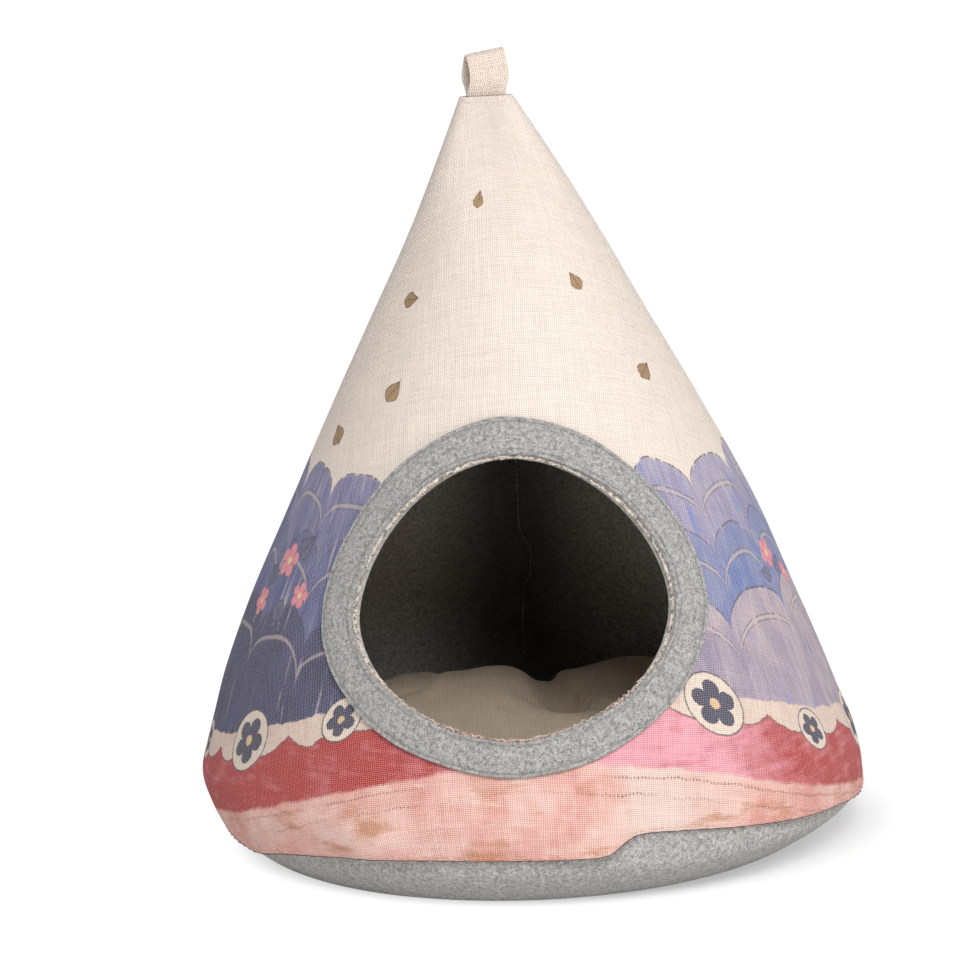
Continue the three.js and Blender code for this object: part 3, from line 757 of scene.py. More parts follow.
def hill_group():
    """Paints a row of rounded hills in a streaky wash, each with a thin broken ink line along its top"""
    tree, given, result = new_group(
        "Washed hills",
        "ShaderNodeTree",
        {
            "Under": "Color", "Place": "Vector", "Edge": "Float", "Rise": "Float", "Period": "Float",
            "Phase": "Float", "Ink": "Color", "Bare": "Color", "Pale": "Color", "Deep": "Color",
            "Pool": "Color",
        },
        {"Colour": "Color"},
    )
    part = add(tree, "ShaderNodeSeparateXYZ", [given["Place"]])
    turn, down = part.outputs["X"], part.outputs["Y"]
    start = add(tree, "ShaderNodeMath", [turn, given["Phase"]], operation="ADD")
    sway = add(tree, "ShaderNodeTexNoise", {"W": start, "Scale": 5.0, "Detail": 1.0}, noise_dimensions="1D")
    count = add(tree, "ShaderNodeMath", [start, given["Period"]], operation="DIVIDE")
    shifted = add(tree, "ShaderNodeMath", [sway, 0.9, count], operation="MULTIPLY_ADD")
    cell = add(tree, "ShaderNodeMath", [shifted], operation="FRACT")
    across = add(tree, "ShaderNodeMath", [cell, 2.0, -1.0], operation="MULTIPLY_ADD")
    square = add(tree, "ShaderNodeMath", [across, across], operation="MULTIPLY")
    arc = add(tree, "ShaderNodeMath", [1.0, square], operation="SUBTRACT")
    dome = add(tree, "ShaderNodeMath", [arc, 0.5], operation="POWER")
    tall = add(tree, "ShaderNodeMath", [sway, 1.6, 0.3], operation="MULTIPLY_ADD")
    domed = add(tree, "ShaderNodeMath", [dome, tall], operation="MULTIPLY")
    rise = add(tree, "ShaderNodeMath", [domed, given["Rise"]], operation="MULTIPLY")
    edge = add(tree, "ShaderNodeMath", [given["Edge"], rise], operation="SUBTRACT")
    depth = add(tree, "ShaderNodeMath", [down, edge], operation="SUBTRACT")
    mask = add(tree, "ShaderNodeMapRange", {"Value": depth, "From Min": 0.0, "From Max": 0.0012})
    broken = add(tree, "ShaderNodeTexNoise", {"W": turn, "Scale": 60.0, "Detail": 2.0}, noise_dimensions="1D")
    pressed = add(
        tree, "ShaderNodeMapRange", {"Value": broken, "From Min": 0.36, "From Max": 0.5, "To Max": 0.9},
    )
    deeper = add(tree, "ShaderNodeMath", [depth, -0.019], operation="ADD")
    inner = add(tree, "ShaderNodeMath", [deeper], operation="ABSOLUTE")
    pair = add(tree, "ShaderNodeMath", [inner, -0.0016], operation="ADD")
    stripe = add(
        tree, "ShaderNodeMapRange",
        {"Value": inner, "From Min": 0.001, "From Max": 0.0018, "To Min": 0.55, "To Max": 0.0},
    )
    lines = []
    for line in (depth, pair):
        off = add(tree, "ShaderNodeMath", [line], operation="ABSOLUTE")
        stroke = add(
            tree, "ShaderNodeMapRange",
            {"Value": off, "From Min": 0.00025, "From Max": 0.0009, "To Min": 1.0, "To Max": 0.0},
        )
        lines.append(add(tree, "ShaderNodeMath", [stroke, pressed], operation="MULTIPLY"))
    faint = add(tree, "ShaderNodeMath", [lines[1], 0.6], operation="MULTIPLY")
    ink = add(tree, "ShaderNodeMath", [lines[0], faint], operation="MAXIMUM")

    def blotch(across_scale, down_scale, detail, distortion, low, high, most):
        at = add(
            tree, "ShaderNodeVectorMath", [given["Place"], (across_scale, down_scale, 1.0)],
            operation="MULTIPLY",
        )
        moved = add(tree, "ShaderNodeVectorMath", {0: at, 1: given["Phase"]}, operation="ADD")
        cloud = add(
            tree, "ShaderNodeTexNoise",
            {"Vector": moved, "Scale": 1.0, "Detail": detail, "Distortion": distortion},
        )
        return add(
            tree, "ShaderNodeMapRange", {"Value": cloud, "From Min": low, "From Max": high, "To Max": most},
        )

    streak = blotch(130.0, 20.0, 4.0, 0.0, 0.36, 0.66, 1.0)
    wash = blotch(24.0, 30.0, 3.0, 0.8, 0.34, 0.64, 1.0)
    both = add(tree, "ShaderNodeMix", {0: 0.45, 2: wash, 3: streak})
    fade = add(
        tree, "ShaderNodeMapRange",
        {"Value": depth, "From Min": 0.0, "From Max": 0.03, "To Min": -0.16, "To Max": 0.08},
    )
    share = add(tree, "ShaderNodeMath", [both, fade], operation="ADD", use_clamp=True)
    fill = add(tree, "ShaderNodeMix", {0: share, 6: given["Pale"], 7: given["Deep"]}, data_type="RGBA")
    pooled = add(
        tree, "ShaderNodeMix",
        {0: blotch(30.0, 22.0, 3.0, 0.5, 0.6, 0.7, 0.75), 6: fill.outputs[2], 7: given["Pool"]},
        data_type="RGBA",
    )
    lit = add(
        tree, "ShaderNodeMix",
        {0: blotch(75.0, 17.0, 3.0, 0.3, 0.61, 0.72, 0.7), 6: pooled.outputs[2], 7: given["Bare"]},
        data_type="RGBA",
    )
    striped = add(tree, "ShaderNodeMix", {0: stripe, 6: lit.outputs[2], 7: given["Bare"]}, data_type="RGBA")
    laid = add(tree, "ShaderNodeMix", {0: mask, 6: given["Under"], 7: striped.outputs[2]}, data_type="RGBA")
    inked = add(tree, "ShaderNodeMix", {0: ink, 6: laid.outputs[2], 7: given["Ink"]}, data_type="RGBA")
    give(tree, result, {"Colour": inked.outputs[2]})
    return tree


def start_material(name):
    material = bpy.data.materials.new(name)
    material.use_nodes = True
    material.node_tree.nodes.clear()
    return material, material.node_tree


def woven_cloth(tree, weave, cloth, dyed, look, bare=None):
    """Ends a material as woven cloth: the weave shades and raises its colour, and makes the thread crests paler
    """
    threads = add(
        tree,
        "ShaderNodeGroup",
        {"Cloth": cloth, "Warp": look.warp_pitch, "Weft": look.weft_pitch, "Slubs": look.slubs},
        node_tree=weave,
    )
    grey = add(tree, "ShaderNodeCombineColor", [threads.outputs["Shade"]] * 3)
    if bare:
        share = add(tree, "ShaderNodeMath", [threads.outputs["Bare"], 0.32], operation="MULTIPLY")
        soaked = add(
            tree, "ShaderNodeMix", {0: 1.0, 6: dyed, 7: dyed}, data_type="RGBA", blend_type="MULTIPLY",
        )
        sunk = add(tree, "ShaderNodeMix", {0: 0.3, 6: dyed, 7: soaked.outputs[2]}, data_type="RGBA")
        dyed = add(
            tree, "ShaderNodeMix", {0: share, 6: sunk.outputs[2], 7: bare}, data_type="RGBA",
        ).outputs[2]
    base = add(tree, "ShaderNodeMix", {0: 1.0, 6: dyed, 7: grey}, data_type="RGBA", blend_type="MULTIPLY")
    bump = add(
        tree, "ShaderNodeBump",
        {"Height": threads.outputs["Height"], "Strength": look.relief, "Distance": 0.0003},
    )
    shader = add(
        tree,
        "ShaderNodeBsdfPrincipled",
        {
            "Base Color": base.outputs[2], "Roughness": 0.9, "Specular IOR Level": 0.15,
            "Sheen Weight": 0.08, "Sheen Roughness": 0.5, "Normal": bump,
        },
    )
    add(tree, "ShaderNodeOutputMaterial", {"Surface": shader})


# Printed linen of the cover, by distance from the tip on the unrolled cone and turn about it
CREAM = "f3e7dd"
INK = "51424f"
HillRow = namedtuple(
    "HillRow", "edge rise period phase right_pale right_deep right_pool left_pale left_deep left_pool",
)
HILLS = [
    HillRow(0.322, 0.017, 0.150, 0.030, "c6bccb", "9592bd", "7095d4", "a09cc0", "62699c", "4560a8"),
    HillRow(0.366, 0.020, 0.118, 0.085, "a4a5c2", "6882c0", "5580cc", "7a7eaa", "445696", "2450a0"),
    HillRow(0.408, 0.019, 0.135, 0.010, "d2c2c6", "a89bb4", "959ccb", "474e82", "17285e", "183a8a"),
]
BAND_DEPTH = 0.038
BAND_FOOT = 0.5
BAND_SWAY = 0.031
DOT_PITCH = 0.0046
SCALLOP = 12 * DEGREE * math.sin(UNROLLED_HALF_ANGLE)

Blossom = namedtuple("Blossom", "azimuth height angle size")
BLOSSOMS = [
    Blossom(-66, 0.186, 0.3, 11.0),
    Blossom(-56, 0.170, 1.4, 8.5),
    Blossom(-73, 0.160, 2.2, 9.5),
    Blossom(71, 0.176, 0.9, 10.0),
    Blossom(79, 0.160, 2.0, 8.0),
    Blossom(-128, 0.240, 0.4, 10.0),
    Blossom(140, 0.225, 1.7, 11.0),
]
Spray = namedtuple("Spray", "azimuth height angle size fill ink")
SPRAYS = [
    Spray(-60, 0.196, 0.9, 19.0, "6f7399", "2c3159"),
    Spray(-72, 0.176, 2.5, 17.0, "656a92", "2a2f58"),
    Spray(-62, 0.158, -0.5, 18.0, "6f7399", "2c3159"),
    Spray(75, 0.168, 0.4, 15.0, "8582a6", "393e69"),
    Spray(66, 0.166, 2.7, 14.0, "8582a6", "393e69"),
    Spray(-44, 0.286, 1.1, 15.0, "c09a64", "6e4c2e"),
    Spray(-50, 0.336, 0.2, 13.0, "b68f58", "6a482c"),
    Spray(-66, 0.258, 2.4, 16.0, "bc955e", "6e4c2e"),
    Spray(34, 0.344, 2.0, 12.0, "c09a64", "745234"),
    Spray(52, 0.290, 0.6, 14.0, "b68f58", "6a482c"),
    Spray(-20, 0.392, 1.5, 11.0, "c09a64", "745234"),
    Spray(118, 0.300, 1.0, 14.0, "c09a64", "6e4c2e"),
    Spray(160, 0.275, 2.2, 15.0, "b68f58", "6a482c"),
    Spray(-150, 0.310, 0.5, 14.0, "bc955e", "6e4c2e"),
    Spray(-105, 0.285, 1.8, 15.0, "c09a64", "745234"),
]


def print_colour(tree, place):
    """The generic print of the cover, from the cream ground down to the peach foot"""
    leaf = leaf_group()
    flower = flower_group()
    hill = hill_group()
    part = add(tree, "ShaderNodeSeparateXYZ", [place])
    turn, down = part.outputs["X"], part.outputs["Y"]
    half_turn = math.sin(UNROLLED_HALF_ANGLE)

    ground = add(tree, "ShaderNodeRGB")
    ground.outputs[0].default_value = colour(CREAM)
    colour_now = ground.outputs[0]

    def spread(rows, group, **look):
        nonlocal colour_now
        for row in rows:
            centre = unroll(row.azimuth, row.height)
            made = add(
                tree,
                "ShaderNodeGroup",
                {
                    "Under": colour_now, "Place": place, "Centre": (*centre, 0.0),
                    "Angle": -row.angle, "Size": row.size,
                    **{key: colour(code) if isinstance(code, str) else code for key, code in look.items()},
                    **({"Fill": colour(row.fill), "Ink": colour(row.ink)} if hasattr(row, "fill") else {}),
                },
                node_tree=group,
            )
            colour_now = made.outputs[0]

    spread([row for row in SPRAYS if row.height > 0.22], leaf)
    left_share = add(
        tree,
        "ShaderNodeMapRange",
        {"Value": turn, "From Min": 55 * DEGREE * half_turn, "From Max": -45 * DEGREE * half_turn},
        interpolation_type="SMOOTHSTEP",
    )
    for row in HILLS:
        pale = add(
            tree, "ShaderNodeMix", {0: left_share, 6: colour(row.right_pale), 7: colour(row.left_pale)},
            data_type="RGBA",
        )
        deep = add(
            tree, "ShaderNodeMix", {0: left_share, 6: colour(row.right_deep), 7: colour(row.left_deep)},
            data_type="RGBA",
        )
        pool = add(
            tree, "ShaderNodeMix", {0: left_share, 6: colour(row.right_pool), 7: colour(row.left_pool)},
            data_type="RGBA",
        )
        made = add(
            tree,
            "ShaderNodeGroup",
            {
                "Under": colour_now, "Place": place, "Edge": row.edge, "Rise": row.rise, "Period": row.period,
                "Phase": row.phase, "Ink": colour(INK), "Bare": colour("ddcfc9"), "Pale": pale.outputs[2],
                "Deep": deep.outputs[2], "Pool": pool.outputs[2],
            },
            node_tree=hill,
        )
        colour_now = made.outputs[0]
    spread([row for row in SPRAYS if row.height <= 0.22], leaf)
    spread(BLOSSOMS, flower, Ink="b3555f", Fill="ee9dab", Heart="f6dcae", Round=-1.0, Ground="f2d9d6")

    def cloud(across_scale, down_scale, detail, low, high, least=0.0, most=1.0):
        at = add(tree, "ShaderNodeVectorMath", [place, (across_scale, down_scale, 1.0)], operation="MULTIPLY")
        noisy = add(
            tree, "ShaderNodeTexNoise", {"Vector": at, "Scale": 1.0, "Detail": detail, "Roughness": 0.6},
        )
        return add(
            tree, "ShaderNodeMapRange", {
                "Value": noisy, "From Min": low, "From Max": high, "To Min": least, "To Max": most,
            }
        )

    def laid_over(share, under, over):
        return add(tree, "ShaderNodeMix", {0: share, 6: under, 7: over}, data_type="RGBA").outputs[2]

    # A cream edging with a scalloped foot, then the rose band, deeper on the left and far right
    double = add(tree, "ShaderNodeMath", [turn, 2 / half_turn], operation="MULTIPLY")
    swing = add(tree, "ShaderNodeMath", [double], operation="COSINE")
    band_foot = add(tree, "ShaderNodeMath", [swing, -BAND_SWAY, BAND_FOOT], operation="MULTIPLY_ADD")
    wobble = cloud(26.0, 40.0, 3.0, 0.0, 1.0, -0.004, 0.004)
    wobbled = add(tree, "ShaderNodeMath", [wobble, band_foot], operation="ADD")
    below = add(tree, "ShaderNodeMath", [down, wobbled], operation="SUBTRACT")
    scallop_angle = add(tree, "ShaderNodeMath", [turn, math.pi / SCALLOP], operation="MULTIPLY")
    scallop_sine = add(tree, "ShaderNodeMath", [scallop_angle], operation="SINE")
    scallop = add(tree, "ShaderNodeMath", [scallop_sine], operation="ABSOLUTE")
    under_top = add(tree, "ShaderNodeMath", [scallop, -0.009, below], operation="MULTIPLY_ADD")
    edging = add(
        tree, "ShaderNodeMapRange",
        {"Value": below, "From Min": -BAND_DEPTH - 0.0132, "From Max": -BAND_DEPTH - 0.012},
    )
    band = add(
        tree, "ShaderNodeMapRange",
        {"Value": under_top, "From Min": -BAND_DEPTH - 0.0045, "From Max": -BAND_DEPTH - 0.0037},
    )
    band_line = add(tree, "ShaderNodeMath", [under_top, BAND_DEPTH + 0.0041], operation="ADD")
    band_off = add(tree, "ShaderNodeMath", [band_line], operation="ABSOLUTE")
    band_ink = add(
        tree, "ShaderNodeMapRange", {
            "Value": band_off, "From Min": 0.0002, "From Max": 0.0008, "To Min": 0.75, "To Max": 0.0,
        }
    )
    foot = add(tree, "ShaderNodeMapRange", {"Value": below, "From Min": -0.0012, "From Max": 0.0012})
    rise_right = add(
        tree,
        "ShaderNodeMapRange",
        {"Value": turn, "From Min": -26 * DEGREE * half_turn, "From Max": 8 * DEGREE * half_turn},
        interpolation_type="SMOOTHSTEP",
    )
    fall_right = add(
        tree,
        "ShaderNodeMapRange",
        {
            "Value": turn, "From Min": 34 * DEGREE * half_turn, "From Max": 52 * DEGREE * half_turn,
            "To Min": 1.0, "To Max": 0.1,
        },
        interpolation_type="SMOOTHSTEP",
    )
    pinkness = add(tree, "ShaderNodeMath", [rise_right, fall_right], operation="MULTIPLY")
    brushed = cloud(18.0, 190.0, 4.0, 0.3, 0.7, -0.3, 0.3)
    pooled = cloud(30.0, 34.0, 3.0, 0.3, 0.7, -0.22, 0.22)
    uneven = add(tree, "ShaderNodeMath", [brushed, pooled], operation="ADD")
    pink_share = add(tree, "ShaderNodeMath", [pinkness, uneven], operation="ADD", use_clamp=True)
    edged = laid_over(
        edging, colour_now,
        laid_over(cloud(60.0, 60.0, 3.0, 0.4, 0.7, 0.0, 0.5), colour("eddccf"), colour("e2b9ae")),
    )
    rose = laid_over(pink_share, colour("c0141c"), colour("f2aebc"))
    banded = laid_over(band_ink, laid_over(band, edged, rose), colour("6e3a40"))

    # The peach foot, with pale and ochre dry strokes and fine dotted lines
    peach = laid_over(cloud(14.0, 22.0, 3.0, 0.36, 0.62), colour("e6a79c"), colour("f7d2c9"))
    # Painted light: the foot is paler just right of the front fold, from 12 to 38 degrees off the doorway,
    # where that side of the fold catches the light
    fold_light_from = add(
        tree, "ShaderNodeMapRange", {
            "Value": turn, "From Min": 12 * DEGREE * half_turn, "From Max": 17 * DEGREE * half_turn,
        }
    )
    fold_light_to = add(
        tree,
        "ShaderNodeMapRange",
        {
            "Value": turn, "From Min": 24 * DEGREE * half_turn, "From Max": 38 * DEGREE * half_turn,
            "To Min": 0.8, "To Max": 0.0,
        },
    )
    fold_light_share = add(tree, "ShaderNodeMath", [fold_light_from, fold_light_to], operation="MULTIPLY")
    fold_lit_foot = laid_over(fold_light_share, peach, colour("efdcd3"))
    whitened = laid_over(cloud(20.0, 150.0, 4.0, 0.56, 0.66, 0.0, 0.6), fold_lit_foot, colour("f3d9cf"))
    ochred = laid_over(cloud(12.0, 60.0, 4.0, 0.55, 0.68, 0.0, 0.75), whitened, colour("cb8b52"))
    dot_angle = add(tree, "ShaderNodeMath", [turn, math.tau / DOT_PITCH], operation="MULTIPLY")
    dot_sine = add(tree, "ShaderNodeMath", [dot_angle], operation="SINE")
    dots = add(tree, "ShaderNodeMapRange", {"Value": dot_sine, "From Min": -0.4, "From Max": 0.3})
    worn = cloud(9.0, 40.0, 2.0, 0.42, 0.58, 0.15, 1.0)
    kept_dots = add(tree, "ShaderNodeMath", [dots, worn], operation="MULTIPLY")
    for depth in (0.006, 0.0165):
        line = add(tree, "ShaderNodeMath", [below, -depth], operation="ADD")
        off = add(tree, "ShaderNodeMath", [line], operation="ABSOLUTE")
        thin = add(
            tree, "ShaderNodeMapRange",
            {"Value": off, "From Min": 0.0003, "From Max": 0.0011, "To Min": 0.75, "To Max": 0.0},
        )
        dotted = add(tree, "ShaderNodeMath", [thin, kept_dots], operation="MULTIPLY")
        ochred = laid_over(dotted, ochred, colour("96562c"))
    colour_now = laid_over(foot, banded, ochred)

    # A row of cream rounds along the top of the band, large and small by turns
    period = 2 * SCALLOP
    count = add(tree, "ShaderNodeMath", [turn, period], operation="DIVIDE")
    cell = add(tree, "ShaderNodeMath", [count], operation="FLOOR")
    middle = add(tree, "ShaderNodeMath", [cell, period, period / 2], operation="MULTIPLY_ADD")
    chance = add(tree, "ShaderNodeTexWhiteNoise", {"W": cell}, noise_dimensions="1D")
    by_turns = add(tree, "ShaderNodeMath", [cell, 1.0], operation="PINGPONG")
    radius = add(tree, "ShaderNodeMath", [by_turns, 6.0, 13.0], operation="MULTIPLY_ADD")
    petal = add(tree, "ShaderNodeMath", [radius, 0.78], operation="MULTIPLY")
    shift = add(
        tree, "ShaderNodeMath", [chance, 0.01, BAND_FOOT - BAND_DEPTH - 0.007], operation="MULTIPLY_ADD",
    )
    follow = add(tree, "ShaderNodeMath", [swing, -BAND_SWAY, shift], operation="MULTIPLY_ADD")
    centre = add(tree, "ShaderNodeCombineXYZ", [middle, follow, 0.0])
    spun = add(tree, "ShaderNodeMath", [chance, math.tau], operation="MULTIPLY")
    rounds = add(
        tree,
        "ShaderNodeGroup",
        {
            "Under": colour_now, "Place": place, "Centre": centre, "Angle": spun, "Size": petal,
            "Ink": colour("2c2f4c"), "Fill": colour("3c4163"), "Heart": colour("e9c9a0"), "Round": radius,
            "Ground": colour("efe0d2"),
        },
        node_tree=flower,
    )
    return rounds.outputs[0]


def printed_linen(look, weave):
    """Linen with a matt pigment print, paler on the thread crests, and the ground is warm cream"""
    material, tree = start_material("printed linen")
    cloth = add(tree, "ShaderNodeUVMap", uv_map="cloth")
    polar = add(tree, "ShaderNodeUVMap", uv_map="polar")
    threads_bleed = add(tree, "ShaderNodeTexNoise", {"Vector": cloth, "Scale": 900.0, "Detail": 1.0})
    offset = add(
        tree, "ShaderNodeVectorMath", [threads_bleed.outputs["Color"], (0.5, 0.5, 0.5)], operation="SUBTRACT",
    )
    bleed = add(tree, "ShaderNodeVectorMath", [offset, (0.004, 0.0016, 0.0)], operation="MULTIPLY")
    place = add(tree, "ShaderNodeVectorMath", [polar, bleed], operation="ADD")
    print_now = print_colour(tree, place.outputs[0])

    # The cut edge inside the ring is bare, and stained pink along its foot
    part = add(tree, "ShaderNodeSeparateXYZ", [cloth])
    rounds = []
    for place_now, middle, half in (
        (part.outputs["X"], DOORWAY_SIDE, DOORWAY_HALF_WIDTH),
        (part.outputs["Y"], -DOORWAY_DOWN, DOORWAY_HALF_HEIGHT),
    ):
        off = add(tree, "ShaderNodeMath", [place_now, middle], operation="SUBTRACT")
        share = add(tree, "ShaderNodeMath", [off, half], operation="DIVIDE")
        size = add(tree, "ShaderNodeMath", [share], operation="ABSOLUTE")
        rounds.append(add(tree, "ShaderNodeMath", [size, DOORWAY_POWER], operation="POWER"))
    reach = add(tree, "ShaderNodeMath", rounds, operation="ADD")
    raw = add(tree, "ShaderNodeMapRange", {"Value": reach, "From Min": 1.03, "From Max": 1.01})
    low = add(
        tree, "ShaderNodeMapRange", {"Value": part.outputs["Y"], "From Min": -0.405, "From Max": -0.445},
    )
    stained = add(tree, "ShaderNodeMix", {0: low, 6: colour("f2e6da"), 7: colour("e2b4ac")}, data_type="RGBA")
    gap = add(tree, "ShaderNodeTexNoise", {"Vector": cloth, "Scale": 330.0, "Detail": 3.0})
    gaps = add(tree, "ShaderNodeMapRange", {"Value": gap, "From Min": 0.46, "From Max": 0.56, "To Max": 0.85})
    edge = add(tree, "ShaderNodeMix", {0: gaps, 6: stained.outputs[2], 7: colour("6e6861")}, data_type="RGBA")
    finished = add(tree, "ShaderNodeMix", {0: raw, 6: print_now, 7: edge.outputs[2]}, data_type="RGBA")
    woven_cloth(tree, weave, cloth, finished.outputs[2], look, bare=colour(CREAM))
    return material


def plain_linen(name, look, weave, code, coordinates):
    """Undyed or piece-dyed linen: one colour, drawn by the weave alone"""
    material, tree = start_material(name)
    if coordinates == "object":
        cloth = add(tree, "ShaderNodeTexCoord").outputs["Object"]
    else:
        cloth = add(tree, "ShaderNodeUVMap", uv_map=coordinates)
    tone = add(tree, "ShaderNodeTexNoise", {"Vector": cloth, "Scale": 30.0, "Detail": 3.0})
    share = add(
        tree, "ShaderNodeMapRange",
        {"Value": tone, "From Min": 0.3, "From Max": 0.7, "To Min": 0.93, "To Max": 1.04},
    )
    grey = add(tree, "ShaderNodeCombineColor", [share, share, share])
    base = add(
        tree, "ShaderNodeMix", {0: 1.0, 6: colour(code), 7: grey}, data_type="RGBA", blend_type="MULTIPLY",
    )
    woven_cloth(tree, weave, cloth, base.outputs[2], look)
    return material


def pressed_felt(name, felt, dark, light, fleck, back=1.0):
    """Wool-blend felt: a matt, cloudy grey with a bloom of loose fibres. back is how far painted shade darkens
    its colour at the back middle
    """
    material, tree = start_material(name)
    place = add(tree, "ShaderNodeTexCoord").outputs["Object"]
    pressed = add(
        tree,
        "ShaderNodeGroup",
        {"Place": place, "Dark": colour(dark), "Light": colour(light), "Fleck": colour(fleck)},
        node_tree=felt,
    )
    # Painted shade: the colour darkens towards the back middle, by how far a point lies off the line straight
    # behind the centre
    part = add(tree, "ShaderNodeSeparateXYZ", [place])
    aside = add(tree, "ShaderNodeMath", [part.outputs["X"]], operation="ABSOLUTE")
    behind = add(tree, "ShaderNodeMath", [part.outputs["Y"], 0.001], operation="MAXIMUM")
    slope = add(tree, "ShaderNodeMath", [aside, behind], operation="DIVIDE")
    shade = add(
        tree,
        "ShaderNodeMapRange",
        {"Value": slope, "From Min": 0.03, "From Max": 0.5, "To Min": back, "To Max": 1.0},
        interpolation_type="SMOOTHSTEP",
    )
    grey = add(tree, "ShaderNodeCombineColor", [shade, shade, shade])
    base = add(
        tree, "ShaderNodeMix", {0: 1.0, 6: pressed.outputs["Colour"], 7: grey}, data_type="RGBA",
        blend_type="MULTIPLY",
    )
    bump = add(
        tree, "ShaderNodeBump", {"Height": pressed.outputs["Height"], "Strength": 0.8, "Distance": 0.0012},
    )
    shader = add(
        tree,
        "ShaderNodeBsdfPrincipled",
        {
            "Base Color": base.outputs[2], "Roughness": 0.95, "Specular IOR Level": 0.12,
            "Sheen Weight": 0.2, "Sheen Roughness": 0.6, "Normal": bump,
        },
    )
    add(tree, "ShaderNodeOutputMaterial", {"Surface": shader})
    return material


def spun_thread(name, code):
    """Spun polyester sewing thread or a loose fibre: pale, soft and slightly bright along its length"""
    material, tree = start_material(name)
    shader = add(
        tree,
        "ShaderNodeBsdfPrincipled",
        {"Base Color": colour(code), "Roughness": 0.6, "Sheen Weight": 0.2, "Specular IOR Level": 0.3},
    )
    add(tree, "ShaderNodeOutputMaterial", {"Surface": shader})
    return material


def body_grid(columns, rows, foot, top):
    """Places on a grid over the whole body, closer together near the foot"""
    azimuth = np.linspace(-180, 180, columns + 1)[:, None] + np.zeros(rows + 1)
    share = np.linspace(0, 1, rows + 1)
    low = foot(azimuth)
    return azimuth, low + (top - low) * share * (0.5 + 0.5 * share)


def cover_lift(azimuth, height, look):
    """How far the linen stands off its plain cone: folds, soft ripples, and gathers along its foot"""
    above = height - seam_height(azimuth)
    waves = 1 + np.sin(112 * azimuth * DEGREE + 2 * ripple(azimuth, height, 0.03))
    gathers = np.exp(-above / 0.006) * waves
    soft = 1 + ripple(azimuth, height, look.ripple_wave)
    return fold_out(azimuth, height) + look.ripple * soft + look.gathers * gathers


def build_cover(look, material):
    """The printed linen, with its raw edge just inside the ring"""
    azimuth, height = body_grid(288, 112, seam_height, COVER_TOP)

    def edge(at, up):
        fray = look.edge * (1 + 0.45 * ripple(at, up, 0.008) + 0.35 * ripple(at + 9, up, 0.0035))
        return doorway_value(at, up, -fray)

    return sewn_sheet(
        "linen_cover",
        azimuth,
        height,
        edge,
        lambda at, up: surface(at, up, 0.0, cover_lift(at, up, look)),
        lambda at, up: surface(at, up, LINEN, cover_lift(at, up, look)),
        material,
    )


def lining_seam(azimuth, height):
    """Azimuth of the lining's back seam, which wanders"""
    path = np.array(
        [
            [0.05, 179.5], [0.094, 179.5], [0.117, 179.0], [0.127, 177.5], [0.143, 177.0], [0.161, 179.5],
            [0.43, 179.5],
        ]
    )
    return (azimuth % 360) - np.interp(height, path[:, 0], path[:, 1])


def build_lining(look, material):
    """Thick felt under the cover, with a soft ridge on each side of its back seam"""
    azimuth, height = body_grid(240, 70, lambda at: seam_height(at) + RIM_LAP + GAP, LINING_TOP)

    def inner(at, up):
        away = lining_seam(at, up) * DEGREE * body_radius(at, up)
        groove = 0.0012 * np.exp(-((away / 0.002) ** 2))
        ridges = 0.0013 * np.exp(-(((np.abs(away) - 0.0065) / 0.004) ** 2))
        soft = 0.0004 * ripple(at, up, look.ripple_wave)
        return surface(at, up, LINEN + GAP + FELT - groove + ridges + soft, 0.0)

    return sewn_sheet(
        "felt_wall",
        azimuth,
        height,
        lambda at, up: doorway_value(at, up, -look.edge),
        lambda at, up: surface(at, up, LINEN + GAP),
        inner,
        material,
    )


def base_inset(azimuth, height):
    return (LINEN + GAP) * smooth(height / (seam_height(azimuth) - RIM_TUCK))


def build_base(look, material):
    """A disc of felt turned up at its rim and sewn behind the cover's foot"""
    azimuth = np.linspace(-180, 180, 300, endpoint=False)
    seam = seam_height(azimuth)
    flat = body_radius(azimuth, 0 * azimuth)
    under = [place(azimuth, flat * share, 0 * azimuth) for share in (0.2, 0.45, 0.7, 0.9, 1.0)]
    over = [place(azimuth, (flat - FELT) * share, FELT + 0 * azimuth) for share in (1.0, 0.9, 0.7, 0.45, 0.2)]
    shares = np.linspace(0, 1, 21)[1:]
    heights = [seam * share * (0.5 + 0.5 * share) for share in shares]
    heights += [seam + RIM_LAP * share for share in (0.25, 0.5, 0.75, 1.0)]

    def face(depth, order):
        strings = []
        for height in order:
            dent = look.ripple * (ripple(azimuth, height, look.ripple_wave) - 1) * smooth(height / 0.01)
            point = surface(azimuth, height, base_inset(azimuth, height) + depth, dent * (height < seam))
            point[:, 2] = np.maximum(point[:, 2], depth + 0.0002)
            strings.append(point)
        return strings

    strings = under + face(0.0, heights) + face(FELT, heights[::-1]) + over
    return grid_closed("felt_foot", (0, 0, 0), (0, 0, FELT), np.stack(strings, 1), material)


def ring_point(turn, margin, out):
    """A point on the doorway ring, a margin out from its inner edge and so far out from the cover"""
    return surface(*doorway_edge(turn, margin), -out)


def ring_face_out(margin, look):
    """Height of the ring's outer face over the cover, with its edges rounded and its stitch rows drawn in"""
    half = RING_WIDTH / 2
    toward_edge = np.clip((np.abs(margin - half) - (half - 0.0012)) / 0.0012, 0, 1)
    rounded = 0.0011 * (1 - np.sqrt(np.maximum(1 - toward_edge**2, 0)))
    drawn = sum(
        np.exp(-(((margin - row) / 0.0011) ** 2))
        for row in (look.inner_row, RING_WIDTH - look.outer_row)
    )
    return RING_GAP + FELT - rounded - look.stitch_pull * drawn


